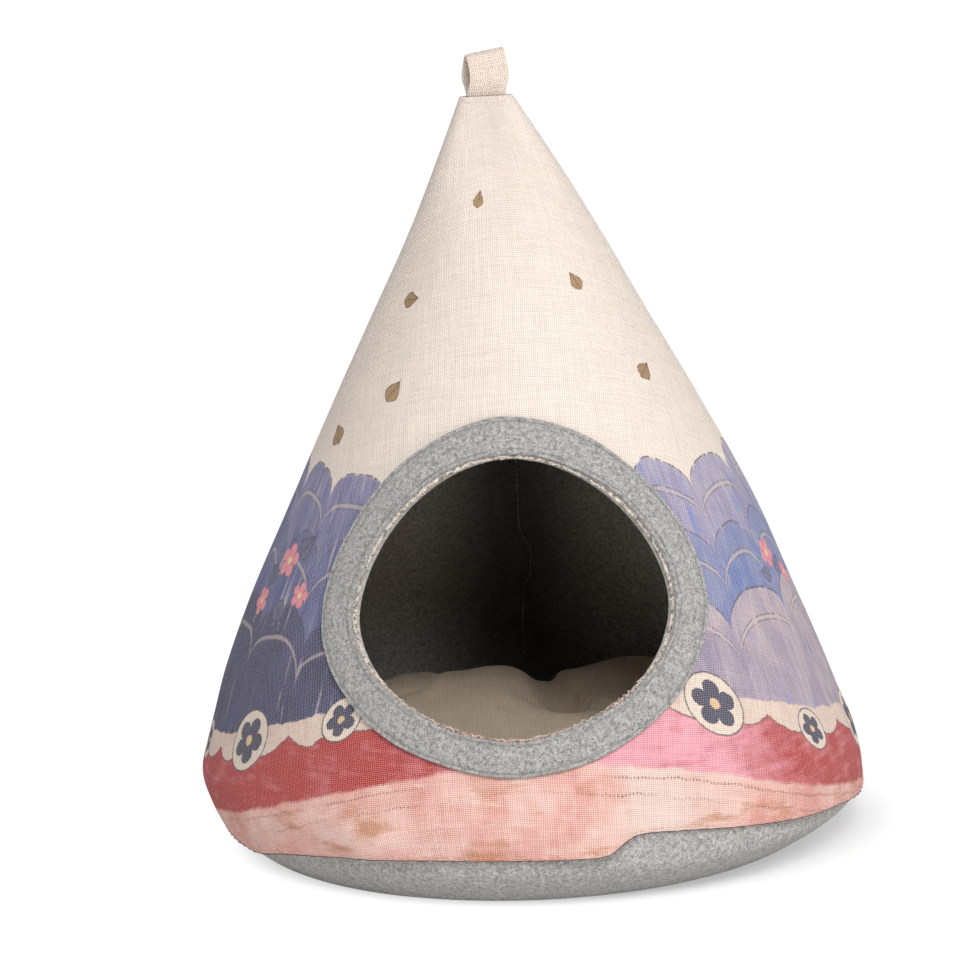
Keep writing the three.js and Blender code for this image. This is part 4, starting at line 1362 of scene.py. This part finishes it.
def build_ring(look, material):
    """The felt ring sewn round the doorway by two rows of stitches"""
    turns = np.linspace(0, math.tau, 420, endpoint=False)
    across = np.concatenate(
        [
            [0, 0.0004, 0.0012], np.linspace(0.0012, RING_WIDTH - 0.0012, 16)[1:],
            [RING_WIDTH - 0.0004, RING_WIDTH],
        ]
    )
    uneven = 0.00035 * np.sin(5 * turns + 0.7) + 0.00025 * np.sin(11 * turns + 2.0)
    strings = []
    for margin in across:
        reach = margin + uneven * (margin - RING_WIDTH / 2) / (RING_WIDTH / 2)
        strings.append(
            ring_point(
                turns, reach, ring_face_out(margin, look) + 0.00015 * np.sin(23 * turns + 400 * margin),
            )
        )
    for margin in (RING_WIDTH, RING_WIDTH / 2, 0.0):
        reach = margin + uneven * (margin - RING_WIDTH / 2) / (RING_WIDTH / 2)
        strings.append(ring_point(turns, reach, RING_GAP + 0 * turns))
    return sweep("felt_ring", np.stack(strings, 1)[::-1], material)


def build_loop(material):
    """The linen strap folded over into a loop, its ends sewn in at the tip"""
    legs = 16
    arch = 20
    spring = LOOP_TOP - LOOP_ARCH
    t = np.linspace(0, 1, legs + 1)
    opened = (LOOP_HALF_DEPTH - LOOP_NECK) * smooth((t - LOOP_OPENS_AT) / (LOOP_WIDEST_AT - LOOP_OPENS_AT))
    closed = (LOOP_HALF_DEPTH - LOOP_ARCH) * smooth((t - LOOP_WIDEST_AT) / (1 - LOOP_WIDEST_AT))
    leg_depth = LOOP_NECK + opened - closed
    leg_height = LOOP_FOOT + (spring - LOOP_FOOT) * t
    turn = np.linspace(0, math.pi, arch + 1)[1:-1]
    depth = np.concatenate([leg_depth, LOOP_ARCH * np.cos(turn), -leg_depth[::-1]])
    height = np.concatenate([leg_height, spring + LOOP_ARCH * np.sin(turn), leg_height[::-1]])
    run = np.gradient(depth), np.gradient(height)
    length = np.hypot(*run)
    normal_depth, normal_up = run[1] / length, -run[0] / length
    above = np.clip((height - COVER_TOP) / (LOOP_TOP - COVER_TOP), 0, 1)
    lift = smooth(above)

    round_turns = np.linspace(0, math.tau, 28, endpoint=False)
    side = np.sign(np.cos(round_turns)) * np.abs(np.cos(round_turns)) ** 0.22
    face = np.sign(np.sin(round_turns)) * np.abs(np.sin(round_turns)) ** 0.45
    sideways = (
        -LOOP_SKEW * np.sin(math.pi * above) * depth / LOOP_HALF_DEPTH
    )[:, None] + side * STRAP_WIDTH / 2
    out = depth[:, None] + face * normal_depth[:, None] * STRAP_THICKNESS / 2
    spin = (LOOP_TURN * lift * DEGREE)[:, None]
    x = sideways * np.cos(spin) - out * np.sin(spin) + lean(height)[:, None]
    y = sideways * np.sin(spin) + out * np.cos(spin)
    z = height[:, None] + face * normal_up[:, None] * STRAP_THICKNESS / 2 + side * LOOP_TILT * lift[:, None]
    sections = np.stack([x, y, z], -1)
    walked = np.concatenate([[0], np.cumsum(np.hypot(np.diff(depth), np.diff(height)))])
    cloth = np.stack([side + 0 * walked[:, None], walked[:, None] + 0 * side], -1)
    cloth[..., 0] *= STRAP_WIDTH / 2
    return sweep("strap_loop", sections, material, closed=False, uvs={"cloth": cloth.reshape(-1, 2)})


def cushion_top(x, y, radius):
    share = np.minimum(np.hypot(x, y) / radius, 1)
    height = CUSHION_EDGE_HEIGHT + CUSHION_CROWN * (1 - share**2.4)
    for lump in CUSHION_LUMPS:
        away = ((x - lump.x) / lump.spread_x) ** 2 + ((y - lump.y) / lump.spread_y) ** 2
        height = height + lump.up * np.exp(-away) * (1 - share**CUSHION_LUMP_FADE)
    return height


def cushion_room(azimuth, height):
    """Largest radius the cushion may have inside the wall and the base's rim"""
    wall = base_inset(azimuth, height) + FELT + LINEN + 2 * GAP + CUSHION_CLEARANCE
    return body_radius(azimuth, height + 0 * azimuth) - wall


def build_case(look, material):
    """The cushion's case before it is filled, a little smaller all round"""
    azimuth = np.linspace(-180, 180, 144, endpoint=False)
    floor = FELT + GAP + look.start_inset
    strings = [
        place(azimuth, CUSHION_FOOT_RADIUS * share + 0 * azimuth, floor + 0 * azimuth)
        for share in (0.2, 0.5, 0.8, 0.97)
    ]
    for row in CUSHION_SIDE:
        radius = np.minimum(cushion_room(azimuth, row.height) - row.draw, CUSHION_MOST_RADIUS)
        strings.append(place(azimuth, radius - look.start_inset, row.height + GAP + 0 * azimuth))
    edge = np.minimum(np.hypot(strings[-1][:, 0], strings[-1][:, 1]) - 0.001, CUSHION_TOP_RADIUS)
    for share in np.linspace(0.98, 0.03, 26):
        point = place(azimuth, edge * share, 0 * azimuth)
        point[:, 2] = cushion_top(point[:, 0], point[:, 1], edge) - look.start_inset
        strings.append(point)
    middle = (0, 0, float(cushion_top(0.0, 0.0, CUSHION_TOP_RADIUS)) - look.start_inset)
    return grid_closed("cushion_case", (0, 0, floor), middle, np.stack(strings, 1), material)


def bake(piece):
    """Applies the modifiers of a piece"""
    scene = bpy.context.evaluated_depsgraph_get()
    made = bpy.data.meshes.new_from_object(piece.evaluated_get(scene))
    piece.modifiers.clear()
    piece.data = made


def points_of(piece):
    points = np.zeros(3 * len(piece.data.vertices))
    piece.data.vertices.foreach_get("co", points)
    return points.reshape(-1, 3)


def move_points(piece, points):
    piece.data.vertices.foreach_set("co", points.ravel())
    piece.data.update()


def creased(points):
    """The case's points with its creases pressed in, on its upper side alone"""
    moved = points.copy()
    upper = smooth((points[:, 2] - 0.034) / 0.012)
    for crease in CREASES:
        path = np.array(crease.path)
        nearest = np.full(len(points), np.inf)
        side = np.zeros(len(points))
        share = np.zeros(len(points))
        for index, (start, end) in enumerate(zip(path, path[1:])):
            run = end - start
            away = points[:, :2] - start
            t = np.clip(away @ run / (run @ run), 0, 1)
            offset = away - t[:, None] * run
            distance = np.hypot(*offset.T)
            closer = distance < nearest
            nearest = np.where(closer, distance, nearest)
            side = np.where(closer, run[0] * away[:, 1] - run[1] * away[:, 0], side)
            share = np.where(closer, (index + t) / (len(path) - 1), share)
        ends = smooth(share / 0.25) * smooth((1 - share) / 0.25)
        right = smooth(nearest / 0.001) * np.exp(-nearest / 0.03) * (side < 0)
        moved[:, 2] += upper * ends * (
            crease.out * np.exp(-((nearest / crease.width) ** 2)) + crease.step * right
        )
    return moved


def fill_cushion(case, look):
    """Swells the case by a cloth simulation under pressure, within its room, and then creases it"""
    remesh = case.modifiers.new("even mesh", "REMESH")
    remesh.mode = "VOXEL"
    remesh.voxel_size = look.voxel
    bake(case)
    start = points_of(case)
    swollen = start + look.start_inset * points_normals(case)
    cloth = case.modifiers.new("filling", "CLOTH")
    cloth.settings.use_pressure = True
    cloth.settings.uniform_pressure_force = look.pressure
    cloth.settings.effector_weights.gravity = 0
    for frame_number in range(1, FILL_FRAMES + 1):
        bpy.context.scene.frame_set(frame_number)
    bake(case)
    bpy.context.scene.frame_set(1)
    step = points_of(case) - start
    length = np.linalg.norm(step, axis=1, keepdims=True)
    swollen = start + step * np.minimum(1, look.slack / np.maximum(length, 1e-9))
    points = creased(swollen)
    azimuth = np.degrees(np.arctan2(points[:, 0], -points[:, 1]))
    radius = np.hypot(points[:, 0], points[:, 1])
    kept = np.minimum(radius, cushion_room(azimuth, points[:, 2])) / np.maximum(radius, 1e-9)
    points[:, :2] *= kept[:, None]
    points[:, 2] = np.maximum(points[:, 2], FELT + GAP)
    move_points(case, points)
    finer = case.modifiers.new("finer", "SUBSURF")
    finer.levels = 1
    finer.render_levels = 1
    bake(case)
    case.data.shade_smooth()
    return case


def points_normals(piece):
    normals = np.zeros(3 * len(piece.data.vertices))
    piece.data.vertex_normals.foreach_get("vector", normals)
    return normals.reshape(-1, 3)


def path_raised(points):
    """Points of a path and the direction out of the surface at each, from two rows of points"""
    return points[0], (points[1] - points[0]) / np.linalg.norm(points[1] - points[0], axis=1, keepdims=True)


def stitched(name, path, closed, thread, material):
    """Threads along a path by Geometry Nodes, made one mesh"""
    points, raised = path
    count = len(points)
    edges = [(i, (i + 1) % count) for i in range(count if closed else count - 1)]
    mesh = bpy.data.meshes.new(name)
    mesh.from_pydata(points.tolist(), edges, [])
    mesh.attributes.new("raised", "FLOAT_VECTOR", "POINT").data.foreach_set("vector", raised.ravel())
    piece = bpy.data.objects.new(name, mesh)
    bpy.context.scene.collection.objects.link(piece)
    tree = shared(bpy.data.node_groups, "Threads along a path", stitch_group)
    nodes = piece.modifiers.new("threads", "NODES")
    nodes.node_group = tree
    values = {**thread._asdict(), "material": material}
    for socket in tree.interface.items_tree:
        if socket.name.lower() in values:
            nodes[socket.identifier] = values[socket.name.lower()]
    bake(piece)
    piece.data.shade_smooth()
    return piece


def ring_path(margin, out, count=600):
    """A closed path round the doorway ring, a margin out from its inner edge and so far off the cover"""
    turns = np.linspace(0, math.tau, count, endpoint=False)
    return path_raised([ring_point(turns, margin, out), ring_point(turns, margin, out + MM)])


def foot_path(look, above):
    """A closed path over the cover, so far above its foot"""
    azimuth = np.linspace(-180, 180, 900, endpoint=False)
    height = seam_height(azimuth) + above
    lift = cover_lift(azimuth, height, look)
    return path_raised([surface(azimuth, height, 0.0, lift), surface(azimuth, height, -MM, lift)])


def back_path(inset, side, low, high):
    """A path up the back of the body, inside it when the inset is positive"""
    height = np.linspace(low, high, 200)
    azimuth = 180 + np.degrees(side / body_radius(180 + 0 * height, height))
    outward = -MM if inset <= 0 else MM
    return path_raised([surface(azimuth, height, inset), surface(azimuth, height, inset + outward)])


def wall_seam_path():
    """A path up the wandering back seam of the felt wall, on its inner face"""
    height = np.linspace(0.07, LINING_TOP - 0.02, 260)
    azimuth = 180 - lining_seam(180 + 0 * height, height)
    azimuth = np.where(azimuth > 180, azimuth - 360, azimuth)
    depth = LINEN + GAP + FELT
    return path_raised([surface(azimuth, height, depth - 0.0006), surface(azimuth, height, depth + MM)])


def loop_path(height, look_out):
    """A path across the front of the strap loop, at the height where it leaves the tip"""
    x = np.linspace(-STRAP_WIDTH / 2 + 0.001, STRAP_WIDTH / 2 - 0.001, 40)
    half = body_radius(0.0, height) + look_out
    front = np.stack([x + lean(height), -half + 0 * x, height + 0 * x], -1)
    return path_raised([front, front + np.array([0, -MM, 0])])


def shared(data, name, make):
    """The block of that name, made at its first use"""
    return data.get(name) or make()


def weave_nodes():
    return shared(bpy.data.node_groups, "Plain weave", weave_group)


def felt_nodes():
    return shared(bpy.data.node_groups, "Pressed felt", felt_group)


def grey_felt(name="grey felt"):
    return shared(
        bpy.data.materials, name, lambda: pressed_felt(name, felt_nodes(), "72706e", "c2c0bd", "3c3a38"),
    )


def camera_matrix(look):
    """World matrix of a camera that looks at the middle from the front, a little above and leaning"""
    target = Vector((look.aim_side, 0, look.aim_height))
    back = Vector((0, -math.cos(look.elevation), math.sin(look.elevation)))
    right = Vector((1, 0, 0))
    up = back.cross(right)
    lean_right = right * math.cos(look.lean) + up * math.sin(look.lean)
    lean_up = up * math.cos(look.lean) - right * math.sin(look.lean)
    turned = Matrix((lean_right, lean_up, back)).transposed().to_4x4()
    turned.translation = target + back * look.distance
    return turned


def area_light(name, place_at, aim, size, power):
    light = bpy.data.lights.new(name, "AREA")
    light.shape = "DISK"
    light.size = size
    light.energy = power
    lamp = bpy.data.objects.new(name, light)
    lamp.location = place_at
    lamp.rotation_euler = (Vector(aim) - Vector(place_at)).to_track_quat("-Z", "Y").to_euler()
    bpy.context.scene.collection.objects.link(lamp)
    return lamp


def white_floor(look):
    """Lit white acrylic: to the camera it glows, so only a contact shadow close to the base is left"""
    material, tree = start_material("lit white acrylic")
    spot = add(tree, "ShaderNodeTexCoord").outputs["Object"]
    moved = add(tree, "ShaderNodeVectorMath", [spot, SHADOW_MIDDLE], operation="SUBTRACT")
    drawn = add(tree, "ShaderNodeVectorMath", [moved, SHADOW_STRETCH], operation="MULTIPLY")
    away = add(tree, "ShaderNodeVectorMath", [drawn], operation="LENGTH").outputs["Value"]
    share = add(
        tree,
        "ShaderNodeMapRange",
        {
            "Value": away, "From Min": SHADOW_FADE_FROM, "From Max": look.shadow_reach, "To Min": look.shadow,
            "To Max": 0.0,
        },
        interpolation_type="SMOOTHSTEP",
    )
    seen = add(tree, "ShaderNodeLightPath").outputs["Is Camera Ray"]
    kept = add(tree, "ShaderNodeMix", {0: seen, 2: 1.0, 3: share})
    glow = add(tree, "ShaderNodeEmission", {"Color": (1, 1, 1, 1), "Strength": 1.03})
    tint = add(tree, "ShaderNodeMix", {0: seen, 6: colour("ececec"), 7: colour("f6f6f6")}, data_type="RGBA")
    sheet = add(tree, "ShaderNodeBsdfDiffuse", {"Color": tint.outputs[2]})
    mixed = add(tree, "ShaderNodeMixShader", [kept, glow, sheet])
    add(tree, "ShaderNodeOutputMaterial", {"Surface": mixed})
    corners = [
        (math.cos(turn) * 60, math.sin(turn) * 60, -0.0002)
        for turn in np.linspace(0, math.tau, 64, endpoint=False)
    ]
    return make_piece("floor", corners, [list(range(64))], material)


def light_room(tree, look):
    """A white room with a dark flag on the camera's left, which the camera itself sees as plain white"""
    tree.nodes.clear()
    toward = add(tree, "ShaderNodeTexCoord").outputs["Generated"]
    flag = Vector((-math.sin(look.flag_side), -math.cos(look.flag_side), 0.05)).normalized()
    facing = add(
        tree, "ShaderNodeVectorMath", [toward, tuple(flag)], operation="DOT_PRODUCT",
    ).outputs["Value"]
    light = add(
        tree,
        "ShaderNodeMapRange",
        {
            "Value": facing, "From Min": 0.45, "From Max": 0.9, "To Min": look.sky,
            "To Max": look.sky * look.flag,
        },
        interpolation_type="SMOOTHSTEP",
    )
    room = add(tree, "ShaderNodeBackground", {"Color": (1, 1, 1, 1), "Strength": light})
    paper = add(tree, "ShaderNodeBackground", {"Color": (1, 1, 1, 1), "Strength": 1.02})
    seen = add(tree, "ShaderNodeLightPath").outputs["Is Camera Ray"]
    mixed = add(tree, "ShaderNodeMixShader", [seen, room, paper])
    add(tree, "ShaderNodeOutputWorld", {"Surface": mixed})


def build_stage(look):
    white_floor(look)
    world = bpy.data.worlds.new("studio")
    bpy.context.scene.world = world
    world.use_nodes = True
    light_room(world.node_tree, look)
    area_light("key", (0.5, -2.05, 1.8), (0, 0, 0.15), 1.2, look.key)
    area_light("right fill", (1.7, -1.8, 0.42), (0, 0, 0.15), 0.7, look.right_fill)
    area_light("left fill", (-1.5, -1.95, 0.45), (0, 0, 0.15), 0.7, look.left_fill)
    camera = bpy.data.objects.new("camera", bpy.data.cameras.new("camera"))
    camera.data.lens = look.lens
    camera.data.sensor_width = 36
    camera.data.clip_end = 200
    camera.matrix_world = camera_matrix(look)
    bpy.context.scene.collection.objects.link(camera)
    bpy.context.scene.camera = camera
    bpy.context.scene.view_settings.view_transform = "Standard"


def length_property(name, description, default):
    return bpy.props.FloatProperty(
        name=name, description=description, default=default, unit="LENGTH", precision=5,
    )


class WeaveLook(bpy.types.PropertyGroup):
    warp_pitch: length_property("Warp pitch", "Distance between the threads that run down", 0.00128)
    weft_pitch: length_property("Weft pitch", "Distance between the threads that run across", 0.00111)
    slubs: bpy.props.FloatProperty(name="Slubs", description="How much thick threads show", default=0.22)
    relief: bpy.props.FloatProperty(
        name="Relief", description="How strongly the threads catch the light", default=0.8,
    )


class CoverLook(bpy.types.PropertyGroup):
    weave: bpy.props.PointerProperty(type=WeaveLook)
    ripple: length_property("Ripple", "Height of the soft ripples in the linen", 0.00035)
    ripple_wave: length_property("Ripple wave", "Size of the soft ripples", 0.016)
    gathers: length_property("Gathers", "Height of the small gathers along the foot seam", 0.00035)
    edge: length_property("Raw edge", "How far the linen shows inside the ring", 0.0012)


class LiningLook(bpy.types.PropertyGroup):
    edge: length_property("Edge", "How far the lining shows inside the ring", 0.0008)
    ripple_wave: length_property("Ripple wave", "Size of the lining's unevenness", 0.02)


class BaseLook(bpy.types.PropertyGroup):
    ripple: length_property("Ripple", "Depth of the dents in the rim", 0.0006)
    ripple_wave: length_property("Ripple wave", "Size of the dents", 0.014)


class RingLook(bpy.types.PropertyGroup):
    inner_row: length_property("Inner row", "Distance of the inner stitch row from the inner edge", 0.0028)
    outer_row: length_property("Outer row", "Distance of the outer stitch row from the outer edge", 0.0026)
    stitch_pull: length_property("Stitch pull", "How far the stitches draw the felt in", 0.0008)


class LoopLook(bpy.types.PropertyGroup):
    weave: bpy.props.PointerProperty(type=WeaveLook)


class CushionLook(bpy.types.PropertyGroup):
    weave: bpy.props.PointerProperty(type=WeaveLook)
    start_inset: length_property("Start inset", "How much smaller the case is before it is filled", 0.002)
    voxel: length_property("Voxel", "Size of the even mesh that is filled", 0.004)
    pressure: bpy.props.FloatProperty(name="Pressure", description="Pressure of the filling", default=4.0)
    slack: length_property("Slack", "How far a point may move while the case fills", 0.006)


class StageLook(bpy.types.PropertyGroup):
    aim_side: length_property("Aim sideways", "Where the camera looks, from the middle", -0.0163)
    aim_height: length_property("Aim height", "Height the camera looks at", 0.212)
    distance: length_property("Distance", "From the camera to where it looks", 2.2)
    elevation: bpy.props.FloatProperty(
        name="Elevation", description="Camera's height angle", default=10 * DEGREE, subtype="ANGLE",
    )
    lean: bpy.props.FloatProperty(
        name="Lean", description="Camera's roll", default=-2.57 * DEGREE, subtype="ANGLE",
    )
    lens: bpy.props.FloatProperty(name="Lens", description="Focal length in millimetres", default=133.4)
    sky: bpy.props.FloatProperty(name="Sky", description="Brightness of the white room", default=0.56)
    flag: bpy.props.FloatProperty(
        name="Flag", description="What the dark flag leaves of the light", default=0.08,
    )
    flag_side: bpy.props.FloatProperty(
        name="Flag side",
        description="How far left of the front the flag stands",
        default=20 * DEGREE,
        subtype="ANGLE",
    )
    key: bpy.props.FloatProperty(name="Key", description="Power of the high light in watts", default=45.0)
    right_fill: bpy.props.FloatProperty(
        name="Right fill", description="Power of the low right light in watts", default=13.0,
    )
    left_fill: bpy.props.FloatProperty(
        name="Left fill", description="Power of the low left light in watts", default=9.0,
    )
    shadow: bpy.props.FloatProperty(
        name="Shadow", description="How strong the contact shadow is", default=0.62,
    )
    shadow_reach: length_property(
        "Shadow reach", "Distance from its middle at which the shadow has faded out", 0.214,
    )


class TeepeeLook(bpy.types.PropertyGroup):
    cover: bpy.props.PointerProperty(type=CoverLook)
    lining: bpy.props.PointerProperty(type=LiningLook)
    base: bpy.props.PointerProperty(type=BaseLook)
    ring: bpy.props.PointerProperty(type=RingLook)
    loop: bpy.props.PointerProperty(type=LoopLook)
    cushion: bpy.props.PointerProperty(type=CushionLook)
    stage: bpy.props.PointerProperty(type=StageLook)


class SewCover(bpy.types.Operator):
    """Make the printed linen cover"""

    bl_idname = "teepee.cover"
    bl_label = "Cover"

    def execute(self, context):
        look = context.scene.teepee.cover
        cover = build_cover(look, printed_linen(look.weave, weave_nodes()))
        dress(cover, "printed_linen", "outer_cover")
        return {"FINISHED"}


class SewLining(bpy.types.Operator):
    """Make the felt wall under the cover"""

    bl_idname = "teepee.lining"
    bl_label = "Lining"

    def execute(self, context):
        # The ring's grey felt painted paler for the light on the inner sides, and painted near black at the
        # back middle for shade
        felt = pressed_felt("wall felt with painted light and shade", felt_nodes(), "8f8e8a", "d6d4cf", "4f4e4a", back=0.16)
        lining = build_lining(context.scene.teepee.lining, felt)
        dress(lining, "grey_felt", "felt_lining")
        return {"FINISHED"}


class SewBase(bpy.types.Operator):
    """Make the felt base"""

    bl_idname = "teepee.base"
    bl_label = "Base"

    def execute(self, context):
        # Painted light: the ring's grey felt made paler, as the base faces down and gets less light
        base = build_base(
            context.scene.teepee.base,
            pressed_felt("base felt painted paler for light", felt_nodes(), "7d7b78", "cecbc7", "45433f"),
        )
        dress(base, "grey_felt", "felt_base")
        return {"FINISHED"}


class SewRing(bpy.types.Operator):
    """Make the felt ring round the doorway"""

    bl_idname = "teepee.ring"
    bl_label = "Doorway ring"

    def execute(self, context):
        ring = build_ring(context.scene.teepee.ring, grey_felt())
        dress(ring, "grey_felt", "doorway_ring")
        return {"FINISHED"}


class SewLoop(bpy.types.Operator):
    """Make the strap loop at the tip"""

    bl_idname = "teepee.loop"
    bl_label = "Loop"

    def execute(self, context):
        look = context.scene.teepee.loop
        loop = build_loop(plain_linen("strap linen", look.weave, weave_nodes(), "e8d6c8", "cloth"))
        dress(loop, "strap_linen", "hang_loop")
        return {"FINISHED"}


class SewStitches(bpy.types.Operator):
    """Sew the rows of stitches and lay the loose fibres"""

    bl_idname = "teepee.stitches"
    bl_label = "Stitches and fibres"

    def execute(self, context):
        look = context.scene.teepee
        grey = spun_thread("grey thread", "8b8a87")
        pale = spun_thread("ecru thread", "e0d2c2")
        peach = spun_thread("peach thread", "dfa797")
        dark = spun_thread("mauve thread of the painted shade line", "5c4444")
        linen = spun_thread("linen fibre", "efe2d4")
        face = RING_GAP + FELT - STITCH_SUNK
        ring = look.ring
        dim = spun_thread("dim thread", "9b9083")
        rows = [
            ("ring_inner_stitches", ring_path(ring.inner_row, face), True, RING_STITCH, grey, "grey_felt"),
            (
                "ring_outer_stitches", ring_path(RING_WIDTH - ring.outer_row, face), True, RING_STITCH, grey,
                "grey_felt",
            ),
            ("foot_stitches", foot_path(look.cover, FOOT_ROW), True, FOOT_STITCH, peach, "printed_linen"),
            # Painted shade: a dark thread line along the cover's foot edge
            ("foot_shade_line", foot_path(look.cover, FOOT_SHADE_ROW), True, FOOT_SHADE_THREAD, dark, "printed_linen"),
            ("foot_fibres", foot_path(look.cover, FOOT_ROW), True, FOOT_FIBRE, linen, "printed_linen"),
            (
                "cover_back_stitches", back_path(-0.0002, 0.004, 0.035, 0.43), False, SEAM_STITCH, pale,
                "printed_linen",
            ),
            ("wall_seam_stitches", wall_seam_path(), False, WALL_STITCH, dim, "grey_felt"),
            ("edge_fibres", ring_path(-look.cover.edge, -0.0004), True, EDGE_FIBRE, linen, "printed_linen"),
            (
                "edge_tufts", ring_path(-look.cover.edge * 0.7, -0.0002), True, EDGE_TUFT, linen,
                "printed_linen",
            ),
            (
                "loop_stitches", loop_path(COVER_TOP - 0.003, 0.0001), False, SEAM_STITCH, pale,
                "printed_linen",
            ),
        ]
        for name, path, closed, thread, material, slot in rows:
            dress(stitched(name, path, closed, thread, material), slot)
        return {"FINISHED"}


class FillCushion(bpy.types.Operator):
    """Make the loose cushion"""

    bl_idname = "teepee.cushion"
    bl_label = "Cushion"

    def execute(self, context):
        look = context.scene.teepee.cushion
        case = build_case(look, plain_linen("cushion linen", look.weave, weave_nodes(), "e4cfb6", "object"))
        cushion = fill_cushion(case, look)
        dress(cushion, "cushion_linen", "cushion")
        return {"FINISHED"}


class SetStage(bpy.types.Operator):
    """Make the floor, the light and the camera"""

    bl_idname = "teepee.stage"
    bl_label = "Stage"

    def execute(self, context):
        build_stage(context.scene.teepee.stage)
        return {"FINISHED"}


STEPS = [SewBase, SewLining, SewCover, SewRing, SewLoop, SewStitches, FillCushion, SetStage]


class TeepeePanel(bpy.types.Panel):
    """Lists the steps"""

    bl_idname = "VIEW3D_PT_teepee"
    bl_label = "Cat teepee"
    bl_space_type = "VIEW_3D"
    bl_region_type = "UI"
    bl_category = "Teepee"

    def draw(self, context):
        for step in STEPS:
            self.layout.operator(step.bl_idname)


CLASSES = [WeaveLook, CoverLook, LiningLook, BaseLook, RingLook, LoopLook, CushionLook, StageLook, TeepeeLook]
CLASSES += [*STEPS, TeepeePanel]


def register():
    for each in CLASSES:
        bpy.utils.register_class(each)
    bpy.types.Scene.teepee = bpy.props.PointerProperty(type=TeepeeLook)


def unregister():
    del bpy.types.Scene.teepee
    for each in reversed(CLASSES):
        bpy.utils.unregister_class(each)


def main():
    register()
    for step in STEPS:
        group, name = step.bl_idname.split(".")
        getattr(getattr(bpy.ops, group), name)()


if __name__ == "__main__":
    main()
